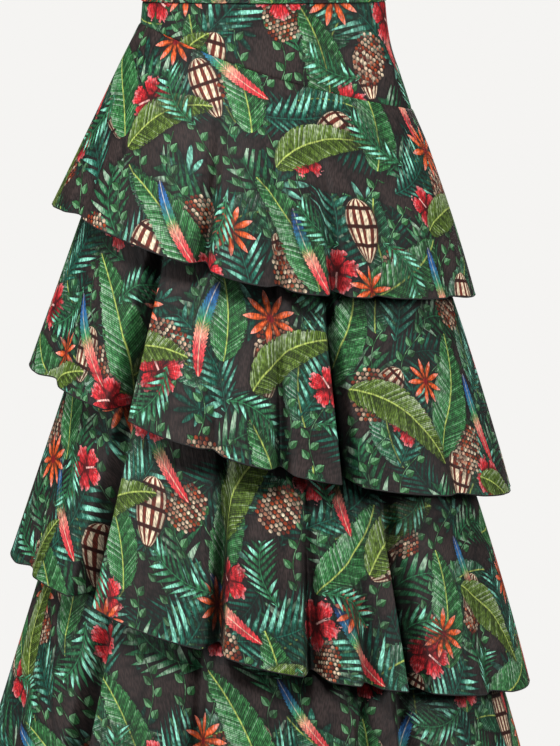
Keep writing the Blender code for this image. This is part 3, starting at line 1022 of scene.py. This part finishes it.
def growth(grain, colours):
    """The fronds, pods and large leaves in the middle of the print."""
    pod, straw, orange = colours.pod, colours.straw, colours.orange_flower
    seeds = ((0.0, tint(pod, 0.8)), (0.35, tint(orange, 0.6)), (0.6, straw), (0.9, pod))
    return (
        Layer(
            palm_frond, Strewn((0.134, 0.148), (0.55, 0.85), 0.1, (-75, 75), 0.05),
            {"grain": grain, "length": 0.060, "width": 0.040, "bend": -0.22, "leaflets": 13,
             "green": colours.frond, "glint": colours.glint},
        ),
        Layer(
            seed_pod, Strewn((0.142, 0.158), (0.4, 0.2), 0.4, (-40, 40), 0.05),
            {"length": 0.033, "width": 0.020, "stripes": 11, "dark": pod, "pale": straw},
        ),
        Layer(
            seed_head, Strewn((0.132, 0.16), (0.9, 0.35), 0.35, (-180, 180), 0.05),
            {"width": 0.021, "height": 0.030, "dot": 0.0048, "stops": seeds},
        ),
        Layer(
            broad_leaf, Strewn((0.152, 0.172), (0.05, 0.7), 0.08, (-30, 40), 0.08),
            {"grain": grain, "length": 0.067, "width": 0.024, "bend": -0.16,
             "green": colours.leaf, "rib": colours.midrib},
        ),
    )


def bloom(grain, colours):
    """The feathers, flowers and leaves that lie on top of the print."""
    red, orange = colours.red_flower, colours.orange_flower
    blue, deep_blue = srgb(40, 100, 160), srgb(30, 60, 110)
    hues = (
        (0.02, red), (0.3, tint(red, 1.05)), (0.42, tint(orange, 1.2)), (0.55, colours.leaf),
        (0.8, blue), (0.98, deep_blue),
    )
    return (
        Layer(
            plume, Strewn((0.18, 0.20), (0.62, 0.52), 0.4, (-60, 20), 0.2),
            {"length": 0.052, "width": 0.0075, "bend": 0.12, "stops": hues},
        ),
        Layer(
            cup_flower, Strewn((0.155, 0.17), (0.22, 0.92), 0.4, (-180, 180), 0.12),
            {"grain": grain, "size": 0.028, "petals": 5, "hue": red, "heart": tint(orange, 1.4)},
        ),
        Layer(
            star_flower, Strewn((0.17, 0.185), (0.8, 0.15), 0.4, (-180, 180), 0.15),
            {"grain": grain, "size": 0.030, "petals": 9, "hue": orange, "heart": tint(red, 0.3)},
        ),
        Layer(
            broad_leaf, Strewn((0.18, 0.205), (0.5, 0.05), 0.14, (20, 110), 0.15),
            {"grain": grain, "length": 0.064, "width": 0.020, "bend": 0.2,
             "green": colours.olive, "rib": colours.midrib},
        ),
        Layer(
            palm_frond, Strewn((0.115, 0.128), (0.35, 0.65), 0.12, (-180, 180), 0.36),
            {"grain": grain, "length": 0.036, "width": 0.024, "bend": 0.3, "leaflets": 9,
             "green": mixed(colours.frond, colours.leaf, 0.5), "glint": colours.glint},
        ),
    )


def lay_all(colour, point, layers):
    """Strewn motifs over a colour, the first one lowest."""
    for layer in layers:
        x, y, bare = strew(point, layer.strewn)
        colour = lay(colour, bare, *layer.shape(x, y, **layer.sizes))
    return colour


def tropical_print(colours):
    """A node group that turns a place on the cloth, in metres, into the print's colour."""
    tree = bpy.data.node_groups.new("tropical_print", "ShaderNodeTree")
    tree.interface.new_socket("Place", in_out="INPUT", socket_type="NodeSocketVector")
    tree.interface.new_socket("Color", in_out="OUTPUT", socket_type="NodeSocketColor")
    entry = tree.nodes.new("NodeGroupInput")
    point = Wire(tree, entry.outputs["Place"])

    grain = cloudy(point, 210, 2).times_plus(1, -0.5)
    ground = colours.ground
    colour = blend(tree, grain.times_plus(1.5, 0.5), tint(ground, 0.8), ground)
    colour = lay_all(colour, point, undergrowth(grain, colours))
    colour = lay(colour, *vine(point, 0.038, 0.2, colours.leaf), shade=2 * MM)
    colour = lay_all(colour, point, growth(grain, colours))
    colour = lay_all(colour, point, bloom(grain, colours))

    clouds = cloudy(point, 22, 1).times_plus(1.5, 0.2)
    shade = blend(tree, clouds, (0.62, 0.62, 0.62), (1, 1, 1))
    colour = blend(tree, 1.0, colour, shade, "MULTIPLY")
    leave = tree.nodes.new("NodeGroupOutput")
    join(tree, colour, leave.inputs["Color"])
    return tree


def new_material(name, roughness, sheen=0.0, metallic=0.0, specular=0.5):
    """A material with a principled shader, its constants set on the shader itself."""
    made = bpy.data.materials.new(name)
    made.use_nodes = True
    shader = made.node_tree.nodes["Principled BSDF"]
    shader.inputs["Roughness"].default_value = roughness
    shader.inputs["Metallic"].default_value = metallic
    shader.inputs["Sheen Weight"].default_value = sheen
    shader.inputs["Specular IOR Level"].default_value = specular
    shader.inputs["Sheen Roughness"].default_value = 0.4
    return made, shader


def cloth_place(tree):
    """The place on flat cloth, in metres, that a panel's UV map gives."""
    node = tree.nodes.new("ShaderNodeUVMap")
    node.uv_map = "cloth"
    return Wire(tree, node.outputs[0])


def stretched(place, across, along):
    """A place scaled by its own number each way, for noise that runs along the cloth."""
    return vector_math(place.tree, "MULTIPLY", place, (across, along, 0))


def weave(place, pitch):
    """The height of crossing threads with slubs and crinkles, and the slubs' share from 0 to 1.

    A slub is about 1.3 mm wide and 6 mm long, and a crinkle 4 mm wide and 30 mm long.
    """
    x, y, _ = split(place)
    over = (x * (2 * math.pi / pitch)).op("SINE") * (y * (2 * math.pi / pitch)).op("SINE")
    slub = cloudy(stretched(place, 760, 170), 1, 0)
    crinkle = cloudy(stretched(place, 260, 34), 1, 0)
    return over.times_plus(0.12, slub) + crinkle * 2.2, slub


def raise_bump(tree, shader, height, distance, strength=0.6):
    """Relief from a height, this distance deep for each whole 1 of height."""
    node = tree.nodes.new("ShaderNodeBump")
    node.inputs["Strength"].default_value = strength
    node.inputs["Distance"].default_value = distance
    join(tree, height, node.inputs["Height"])
    tree.links.new(node.outputs[0], shader.inputs["Normal"])


def openness(tree, distance, samples):
    """How open a place is, from 0 to 1, to what lies within a distance."""
    node = tree.nodes.new("ShaderNodeAmbientOcclusion")
    node.samples = samples
    node.inputs["Distance"].default_value = distance
    return Wire(tree, node.outputs["AO"])


def painted_fold_shade(tree):
    """Painted shade: a grey that darkens the print in the folds, where other cloth stands close."""
    shut, clear = (0.36, (0.08, 0.08, 0.08)), (0.88, (1, 1, 1))
    return ramp(openness(tree, 60 * MM, 4), shut, clear)


def printed_materials(colours):
    """The printed cloth and its faded reverse side."""
    group = tropical_print(colours)
    shaded, lit, fade = (0.61, 0.61, 0.62), (1.39, 1.36, 1.35), 0.55
    for name, faded in (("print_outside", False), ("print_reverse", True)):
        material, shader = new_material(name, 0.62, sheen=0.02, specular=0.22)
        tree = material.node_tree
        place = cloth_place(tree)
        print_node = tree.nodes.new("ShaderNodeGroup")
        print_node.node_tree = group
        join(tree, place, print_node.inputs["Place"])
        colour = Wire(tree, print_node.outputs["Color"])
        height, slub = weave(place, 0.7 * MM)
        if faded:
            colour = blend(tree, fade, colour, tint(colours.ground, 1.06))
        # The cloth is darker and paler in streaks that follow its slubs, which also raise the bump.
        streak = slub.times_plus(3.4, -1.2, clamp=True)
        slub_streaks = blend(tree, streak, shaded, lit)
        colour = blend(tree, 1.0, colour, slub_streaks, "MULTIPLY")
        # Painted shade in the folds, multiplied into the print's colour.
        colour = blend(tree, 1.0, colour, painted_fold_shade(tree), "MULTIPLY")
        join(tree, colour, shader.inputs["Base Color"])
        join(tree, slub.times_plus(0.22, 0.5), shader.inputs["Roughness"])
        raise_bump(tree, shader, height, 0.35 * MM)


def thread_material(colours):
    """Closely wound overlock thread."""
    material, shader = new_material("hem_thread", 0.6, sheen=0.02, specular=0.2)
    tree = material.node_tree
    place = cloth_place(tree)
    x, y, _ = split(place)
    turn_pitch, slant = 1.1 * MM, 1400
    wound = (x.times_plus(2 * math.pi / turn_pitch, y * slant)).op("SINE")
    fuzz = cloudy(stretched(place, 1500, 1500), 1, 1)
    share = wound.times_plus(0.3, 0.5) + fuzz.times_plus(0.4, -0.2)
    thread = colours.thread
    wound_colour = blend(tree, share, tint(thread, 0.6), tint(thread, 1.03))
    join(tree, wound_colour, shader.inputs["Base Color"])
    join(tree, fuzz.times_plus(0.3, 0.4), shader.inputs["Roughness"])
    raise_bump(tree, shader, wound, 0.15 * MM)


def plain_cloth_material(name, colour, pitch, ribbed=0.0):
    """A plain woven cloth, with ribs along its length where it is a tape."""
    material, shader = new_material(name, 0.75, sheen=0.15)
    tree = material.node_tree
    place = cloth_place(tree)
    height, slub = weave(place, pitch)
    if ribbed:
        x, _, _ = split(place)
        height = (x * (2 * math.pi / ribbed)).op("SINE").times_plus(0.4, height)
    woven = blend(tree, slub, tint(colour, 0.7), tint(colour, 1.05))
    join(tree, woven, shader.inputs["Base Color"])
    join(tree, slub.times_plus(0.2, 0.62), shader.inputs["Roughness"])
    raise_bump(tree, shader, height, 0.3 * MM)


def object_place(tree):
    """The place in a piece's own frame, in metres, for a piece that isn't cloth."""
    node = tree.nodes.new("ShaderNodeTexCoord")
    return Wire(tree, node.outputs["Object"])


def metal_material(colours):
    """Dark plated metal with fine scratches and uneven wear."""
    material, shader = new_material("plated_metal", 0.32, metallic=0.92)
    tree = material.node_tree
    place = object_place(tree)
    scratches = cloudy(vector_math(tree, "MULTIPLY", place, (400, 4000, 400)), 1, 2, "3D")
    wear = cloudy(place, 700, 2, "3D")
    colour = blend(tree, wear, tint(colours.metal, 0.7), tint(colours.metal, 1.25))
    join(tree, colour, shader.inputs["Base Color"])
    join(tree, scratches.times_plus(0.3, 0.2), shader.inputs["Roughness"])
    raise_bump(tree, shader, scratches, 0.04 * MM, 0.4)


def teeth_material(colours):
    """Moulded nylon for the zip's coil and its end stop."""
    material, shader = new_material("zip_nylon", 0.42)
    tree = material.node_tree
    mottle = cloudy(object_place(tree), 2500, 2, "3D")
    colour = blend(tree, mottle, tint(colours.tape, 0.8), tint(colours.tape, 1.06))
    join(tree, colour, shader.inputs["Base Color"])
    join(tree, mottle.times_plus(0.25, 0.28), shader.inputs["Roughness"])
    raise_bump(tree, shader, mottle, 0.03 * MM, 0.3)


def materials(colours):
    """The skirt's materials by name, made once."""
    if "print_outside" not in bpy.data.materials:
        printed_materials(colours)
        thread_material(colours)
        plain_cloth_material("underskirt_weave", colours.underskirt, 0.8 * MM)
        plain_cloth_material("tape_weave", colours.tape, 0.6 * MM, ribbed=2.4 * MM)
        metal_material(colours)
        teeth_material(colours)
    return bpy.data.materials


def settings(context):
    """Everything that a user may set, as it is in this scene."""
    return context.scene.skirt


def rolled_hem(name, points, radius, material):
    """A thin tube of thread along the edge that these points run along, closed at both ends."""
    along = np.gradient(points, axis=0)
    along /= np.linalg.norm(along, axis=1, keepdims=True)
    up = np.array([0.0, 0.0, 1.0])
    out = np.cross(along, up)
    out /= np.linalg.norm(out, axis=1, keepdims=True)
    up = np.cross(out, along)
    angle = np.arange(HEM_SIDES) * 2 * math.pi / HEM_SIDES
    ring = np.cos(angle)[None, :, None] * out[:, None] + np.sin(angle)[None, :, None] * up[:, None]
    surface = points[:, None] + radius * ring
    length = np.concatenate([[0], np.cumsum(np.linalg.norm(np.diff(points, axis=0), axis=1))])
    places = np.stack(np.broadcast_arrays(length[:, None], (radius * angle)[None]), axis=-1)
    faces = [face[::-1] for face in grid_faces(len(points), HEM_SIDES, closed=True)]
    first = list(range(HEM_SIDES))
    last = [(len(points) - 1) * HEM_SIDES + side for side in reversed(range(HEM_SIDES))]
    return new_piece(name, surface, [*faces, first, last], places, [material])


def sewn_panel(context, name, points, nodes):
    """A printed panel with its wall, its place on the print and its cut."""
    made = materials(settings(context).print)
    cut = Cut(points)
    names = ("print_outside", "print_reverse", "hem_thread")
    piece = new_piece(
        name, points, grid_faces(*points.shape[:2]), cut.places(PRINT_STARTS[nodes[0]]),
        [made[key] for key in names],
    )
    thicken(piece, settings(context).cloth.thickness, reverse=1, rim=2)
    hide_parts(*nodes)
    flat, area = cut.flat()


class SKIRT_OT_studio(bpy.types.Operator):
    """Set up the camera, the pale floor and backdrop, and the soft studio lights"""

    bl_idname = "skirt.studio"
    bl_label = "Studio"

    def execute(self, context):
        studio = settings(context).studio
        add_camera(context)
        add_backdrop(context, studio)
        for light in LIGHTS:
            add_light(context, light, getattr(studio, light.name))
        world = bpy.data.worlds.new("studio")
        world.use_nodes = True
        sky = world.node_tree.nodes["Background"]
        sky.inputs["Color"].default_value = (*SKY_COLOUR, 1)
        sky.inputs["Strength"].default_value = studio.sky
        context.scene.world = world
        context.scene.view_settings.view_transform = "Standard"
        return {"FINISHED"}


def add_camera(context):
    """A camera as high as the photo's, a little above the waist, with the photo's frame."""
    made = bpy.data.cameras.new("camera")
    camera = bpy.data.objects.new("camera", made)
    camera.location = CAMERA_PLACE
    gaze = Vector(CAMERA_AIM) - camera.location
    camera.rotation_euler = gaze.to_track_quat("-Z", "Y").to_euler()
    made.sensor_width = SENSOR_WIDTH
    made.lens = SENSOR_WIDTH * gaze.length / VIEW_HEIGHT
    made.clip_end = VIEW_END
    context.scene.collection.objects.link(camera)
    context.scene.camera = camera


def add_backdrop(context, studio):
    """A wide pale bowl: the floor, and the backdrop that it curves up into all round."""
    floor = -(FLOUNCES[-1].hem_left * MM + studio.floor_gap)
    radius, corner, height, steps, sides = 24, 7, 16, 10, 96
    floor_rings = (0.001, 3, 9)
    turn = np.linspace(0, math.pi / 2, steps)
    curve = radius - corner + corner * np.sin(turn)
    reach = np.concatenate([floor_rings, curve, [radius]])
    level = np.zeros(len(floor_rings))
    lift = np.concatenate([level, corner * (1 - np.cos(turn)), [height]])
    bearing = np.linspace(0, 2 * math.pi, sides + 1)
    grid = np.meshgrid(bearing, reach, indexing="ij")
    points = round_points(grid[0], grid[1], -(floor + lift)[None] * np.ones((sides + 1, 1)))
    mesh = bpy.data.meshes.new("backdrop")
    mesh.from_pydata(points.reshape(-1, 3).tolist(), [], grid_faces(*points.shape[:2]))
    mesh.shade_smooth()
    backdrop = bpy.data.objects.new("backdrop", mesh)
    context.scene.collection.objects.link(backdrop)
    backdrop.visible_diffuse = False
    backdrop.visible_glossy = False
    backdrop.visible_shadow = False
    mesh.materials.append(backdrop_material(studio))


def backdrop_material(studio):
    """An evenly bright pale paper, with a soft shadow only where the skirt is near."""
    shadow_reach, softness, darkest = 0.5, 0.6, 0.45
    material = bpy.data.materials.new("backdrop_paper")
    material.use_nodes = True
    tree = material.node_tree
    tree.nodes.clear()
    open_share = openness(tree, shadow_reach, 8).op("POWER", softness)
    pale = studio.backdrop
    colour = blend(tree, open_share, tint(pale, darkest), pale)
    glow = tree.nodes.new("ShaderNodeEmission")
    join(tree, colour, glow.inputs["Color"])
    out = tree.nodes.new("ShaderNodeOutputMaterial")
    tree.links.new(glow.outputs[0], out.inputs["Surface"])
    return material


def add_light(context, row, power):
    """One of the studio's lights, which the camera doesn't see."""
    made = bpy.data.lights.new(row.name, "AREA")
    made.size = row.size
    made.energy = power
    light = bpy.data.objects.new(row.name, made)
    light.location = row.place
    gaze = Vector(LIGHT_AIM) - light.location
    light.rotation_euler = gaze.to_track_quat("-Z", "Y").to_euler()
    light.visible_camera = False
    context.scene.collection.objects.link(light)


class SKIRT_OT_waistband(bpy.types.Operator):
    """Make the front and back of the waistband, folded over at the top"""

    bl_idname = "skirt.waistband"
    bl_label = "Waistband"

    def execute(self, context):
        made = materials(settings(context).print)
        for side in ("front", "back"):
            name = f"waistband_{side}"
            bearings = panel_columns(side, BAND_COLUMNS, slot_bearing())
            outwards, drops = band_section()
            bearing, step = np.meshgrid(bearings, np.arange(len(drops)), indexing="ij")
            drop = drops[step]
            inner = figure_radius(bearing, drop) + WALL + SEAM_GAP
            side_roll = rolled(
                edge_distance(bearing, inner, side, slot_bearing()), settings(context).cloth.seam
            )
            inner_roll = -side_roll * BAND_INNER_ROLL
            squeezed = np.where(outwards[step] > BAND_WALL / 2, side_roll, inner_roll)
            points = round_points(bearing, inner + outwards[step] + squeezed, drop)
            across = run_lengths(points, 0)
            around = run_lengths(points, 1)
            places = np.stack([across, -around], axis=-1) + np.array(PRINT_STARTS[name])
            columns, rows = points.shape[:2]
            faces = grid_faces(columns, rows, closed=True)
            first = list(range(rows))[::-1]
            last = [(columns - 1) * rows + row for row in range(rows)]
            piece = new_piece(
                f"{name}_cloth", points, [*faces, first, last], places, [made["print_outside"]],
            )
            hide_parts(name)
        return {"FINISHED"}


def band_section():
    """The waistband's section, from its inner foot up over the fold to its outer foot.

    Its outer face swells a little, and is drawn in just above its foot by the seam's stitches.
    """
    fold_height, swell, foot = 1.1 * MM, 0.12 * MM, BAND_HEIGHT + 0.15 * MM
    draw_in, draw_height = 0.9 * MM, 1.08 * MM
    outer_foot = [
        (BAND_WALL - draw_in * (1 - math.sin(a)), foot - draw_height * (1 - math.sin(a)))
        for a in np.linspace(math.pi / 2, 0, 5)
    ]
    face = [(BAND_WALL + swell, drop * MM) for drop in (28, 22, 15, 9, 5, 3)]
    top = [
        (BAND_WALL / 2 * (1 + math.cos(a)), fold_height * (1 - math.sin(a)))
        for a in np.linspace(0, math.pi, 11)
    ]
    inner = [(0.0, drop * MM) for drop in (3, 6, 11, 18, 26, 32)]
    inner_foot = [(0.05 * MM, foot - 0.6 * MM), (0.5 * MM, foot), (BAND_WALL - 1.3 * MM, foot)]
    section = np.array([*outer_foot, *face, *top, *inner, *inner_foot])
    return section[::-1, 0], section[::-1, 1]


class SKIRT_OT_yoke(bpy.types.Operator):
    """Make the fitted front and back of the yoke, with the seam allowance inside"""

    bl_idname = "skirt.yoke"
    bl_label = "Yoke"

    def execute(self, context):
        cloth = settings(context).cloth
        for side in ("front", "back"):
            bearings = panel_columns(side, YOKE_FACES.columns, slot_bearing())
            levels = edged(YOKE_FACES.rows, YOKE_FACES.length)
            bearing, level = np.meshgrid(bearings, levels, indexing="ij")
            top = BAND_HEIGHT + YOKE_EDGE
            foot = seam_drop(0, bearing) + YOKE_EDGE
            drop = top + (foot - top) * level
            radius = figure_radius(bearing, drop) + WALL + SEAM_GAP
            roll = rolled(drop - top, cloth.seam) + rolled(foot - drop, cloth.seam)
            roll += rolled(edge_distance(bearing, radius, side, slot_bearing()), cloth.seam)
            roll = np.maximum(roll, -cloth.seam)
            pucker = puckered(bearing, foot - drop, cloth.pucker, YOKE_FOOT_SEED)
            top_depth = cloth.pucker * YOKE_TOP_PUCKER
            pucker += puckered(bearing, drop - top, top_depth, YOKE_TOP_SEED)
            points = round_points(bearing, radius + roll + pucker, drop)
            allowance = self.allowance(context, side, bearings)
            sewn_panel(
                context, f"yoke_{side}_cloth", points, [f"yoke_{side}"],
            )
        return {"FINISHED"}

    def allowance(self, context, side, bearings):
        """The turned-up edges of the seam, which show inside the yoke."""
        made = materials(settings(context).print)
        levels = np.linspace(0, 1, ALLOWANCE_ROWS)
        bearing, level = np.meshgrid(bearings, levels, indexing="ij")
        foot = seam_drop(0, bearing) - ALLOWANCE_LIFT
        drop = foot - ALLOWANCE * (1 - level)
        radius = figure_radius(bearing, drop) + ALLOWANCE_GAP + ALLOWANCE_LEAN * level
        points = round_points(bearing, radius, drop)
        places = Cut(points).places(PRINT_STARTS["seam_allowance"])
        names = ("print_reverse", "print_reverse", "hem_thread")
        piece = new_piece(
            f"yoke_{side}_seam_allowance", points, grid_faces(*points.shape[:2]), places,
            [made[key] for key in names],
        )
        thicken(piece, ALLOWANCE_WALL, reverse=1, rim=2)
        return piece


class SKIRT_OT_underskirt(bpy.types.Operator):
    """Make the plain underskirt that carries the lower flounces"""

    bl_idname = "skirt.underskirt"
    bl_label = "Underskirt"

    def execute(self, context):
        made = materials(settings(context).print)
        cloth = settings(context).cloth
        for side in ("front", "back"):
            bearings = panel_columns(side, UNDERSKIRT_FACES.columns)
            levels = edged(UNDERSKIRT_FACES.rows, UNDERSKIRT_FACES.length)
            bearing, level = np.meshgrid(bearings, levels, indexing="ij")
            top = seam_drop(0, bearing) + UNDERSKIRT_EDGE
            foot = seam_drop(len(FLOUNCES) - 1, bearing) + UNDERSKIRT_FOOT
            drop = top + (foot - top) * level
            radius = figure_radius(bearing, drop)
            roll = rolled(edge_distance(bearing, radius, side), cloth.seam)
            points = round_points(bearing, radius + roll, drop)
            cut = Cut(points)
            piece = new_piece(
                f"underskirt_{side}_cloth", points, grid_faces(*points.shape[:2]),
                cut.places((0, 0)), [made["underskirt_weave"]],
            )
            thicken(piece, WALL)
            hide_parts(f"underskirt_{side}")
            flat, area = cut.flat()
        return {"FINISHED"}


class SKIRT_OT_flounces(bpy.types.Operator):
    """Make the four flounces, front and back, with their folds, creases and rolled hems"""

    bl_idname = "skirt.flounces"
    bl_label = "Flounces"

    def execute(self, context):
        made = materials(settings(context).print)
        cloth = settings(context).cloth
        for tier in range(len(FLOUNCES)):
            for side in ("front", "back"):
                points = self.panel(tier, side, cloth)
                node = f"flounce_{tier + 1}_{side}"
                edge = points[:, -1].copy()
                outwards = edge[:, :2] / np.linalg.norm(edge[:, :2], axis=1, keepdims=True)
                edge[:, :2] += outwards * cloth.thickness / 2
                hem = rolled_hem(f"{node}_hem", edge, cloth.hem, made["hem_thread"])
                sewn_panel(context, f"{node}_cloth", points, [node])
        return {"FINISHED"}

    def panel(self, tier, side, cloth):
        """The inner face of a flounce, with its soft creases and its edges rolled in."""
        bearings = flounce_columns(tier, side, cloth.columns)
        levels = edged(cloth.rows, FLOUNCE_LENGTH)
        bearing, level = np.meshgrid(bearings, levels, indexing="ij")
        top = seam_drop(tier, bearing) + FLOUNCE_EDGE
        foot = hem_drop(tier, bearing)
        drop = top + (foot - top) * level
        radius = flounce_radius(tier, bearing, drop)
        roll = rolled(drop - top, cloth.seam) + rolled(
            edge_distance(bearing, radius, side), cloth.seam
        )
        crease = creased(tier, bearing, level, cloth.crease)
        pucker = puckered(bearing, drop - top, cloth.pucker, FLOUNCE_SEED + tier)
        radius += np.maximum(roll, -cloth.seam) + crease + pucker
        return round_points(bearing, radius, drop)


class SKIRT_OT_zip(bpy.types.Operator):
    """Make the concealed zip: its tape, coil, end stop, slider and pull tab"""

    bl_idname = "skirt.zip"
    bl_label = "Concealed zip"

    def execute(self, context):
        made = materials(settings(context).print)
        coil = self.coil(made["zip_nylon"])
        self.tape(made["tape_weave"], coil)
        for name in ("zip_slider", "zip_pull"):
            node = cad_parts[name]
            node.data.materials.clear()
            node.data.materials.append(made["plated_metal"])
            edges = node.modifiers.new("rounded edges", "BEVEL")
            edges.width = METAL_EDGE
            edges.segments = 3
            edges.limit_method = "ANGLE"
        return {"FINISHED"}

    def tape(self, material, coil):
        """The woven tape, across the slot inside the band and the yoke."""
        spread = TAPE_WIDTH / 2 / (FIGURE[0].half_width * MM)
        bearings = math.pi / 2 + np.linspace(-spread, spread, TAPE_COLUMNS)
        levels = np.linspace(0, 1, TAPE_ROWS)
        bearing, level = np.meshgrid(bearings, levels, indexing="ij")
        drop = ZIP_TOP + (ZIP_FOOT - ZIP_TOP) * level
        radius = figure_radius(bearing, drop) + WALL + SEAM_GAP - ZIP_GAP - TAPE_WALL
        points = round_points(bearing, radius, drop)
        places = np.stack([run_lengths(points, 0), -drop], axis=-1)
        piece = new_piece(
            "zip_tape_cloth", points, grid_faces(*points.shape[:2]), places, [material],
        )
        thicken(piece, TAPE_WALL)
        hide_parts("zip_tape")

    def coil(self, material):
        """The closed teeth of the coil, behind the tape, and the stop at their foot."""
        points, faces = [], []
        for drop in np.arange(ZIP_TOP + COIL_START, ZIP_FOOT - COIL_END, TOOTH_PITCH):
            add_bead(points, faces, self.coil_place(drop), TOOTH_SIZE)
        add_bead(points, faces, self.coil_place(ZIP_FOOT - STOP_END), STOP_SIZE)
        points = np.array(points)
        places = points[:, 1:]
        return new_piece("zip_coil", points, faces, places, [material])

    def coil_place(self, drop):
        """The middle of a tooth, sunk a little into the tape's inner face."""
        tape = float(figure("half_width", drop)) + WALL + SEAM_GAP - ZIP_GAP - TAPE_WALL
        return np.array([tape - TOOTH_SIZE[0] / 2 + TOOTH_SINK, 0, -drop])


def add_bead(points, faces, centre, size):
    """Add a bead, a ball that is squared off towards a box, to a list of points and faces."""
    steps, sides, squareness = 4, 10, 0.6
    start = len(points)
    balls = [
        (math.cos(lift) * math.cos(turn), math.sin(lift), math.cos(lift) * math.sin(turn))
        for lift in np.linspace(-math.pi / 2, math.pi / 2, steps + 1)[1:-1]
        for turn in np.linspace(0, 2 * math.pi, sides, endpoint=False)
    ]
    balls = np.array([*balls, (0, -1, 0), (0, 1, 0)])
    boxed = np.sign(balls) * np.abs(balls) ** squareness
    points.extend(centre + boxed * np.array(size) / 2)
    foot, head = len(points) - 2, len(points) - 1
    last = start + (steps - 2) * sides
    for side in range(sides):
        other = (side + 1) % sides
        for low in range(start, last, sides):
            high = low + sides
            faces.append([low + side, high + side, high + other, low + other])
        faces.append([foot, start + side, start + other])
        faces.append([last + side, head, last + other])


class SKIRT_PT_panel(bpy.types.Panel):
    """Lists the skirt's pieces and settings in the sidebar"""

    bl_label = "Maxi skirt"
    bl_idname = "SKIRT_PT_panel"
    bl_space_type = "VIEW_3D"
    bl_region_type = "UI"
    bl_category = "Skirt"

    def draw(self, context):
        layout = self.layout
        skirt = settings(context)
        for group in (skirt.cloth, skirt.print, skirt.studio):
            column = layout.column()
            for name in group.bl_rna.properties.keys():
                if name not in ("rna_type", "name"):
                    column.prop(group, name)
        for operator in PIECES:
            layout.operator(operator.bl_idname)


PIECES = (
    SKIRT_OT_studio,
    SKIRT_OT_waistband,
    SKIRT_OT_yoke,
    SKIRT_OT_underskirt,
    SKIRT_OT_flounces,
    SKIRT_OT_zip,
)
CLASSES = (SkirtCloth, SkirtPrint, SkirtStudio, SkirtSettings, *PIECES, SKIRT_PT_panel)


def register():
    for each in CLASSES:
        bpy.utils.register_class(each)
    bpy.types.Scene.skirt = PointerProperty(type=SkirtSettings)


def unregister():
    del bpy.types.Scene.skirt
    for each in reversed(CLASSES):
        bpy.utils.unregister_class(each)


def main():
    register()
    bpy.ops.skirt.studio()
    bpy.ops.skirt.waistband()
    bpy.ops.skirt.yoke()
    bpy.ops.skirt.underskirt()
    bpy.ops.skirt.flounces()
    bpy.ops.skirt.zip()


if __name__ == "__main__":
    main()
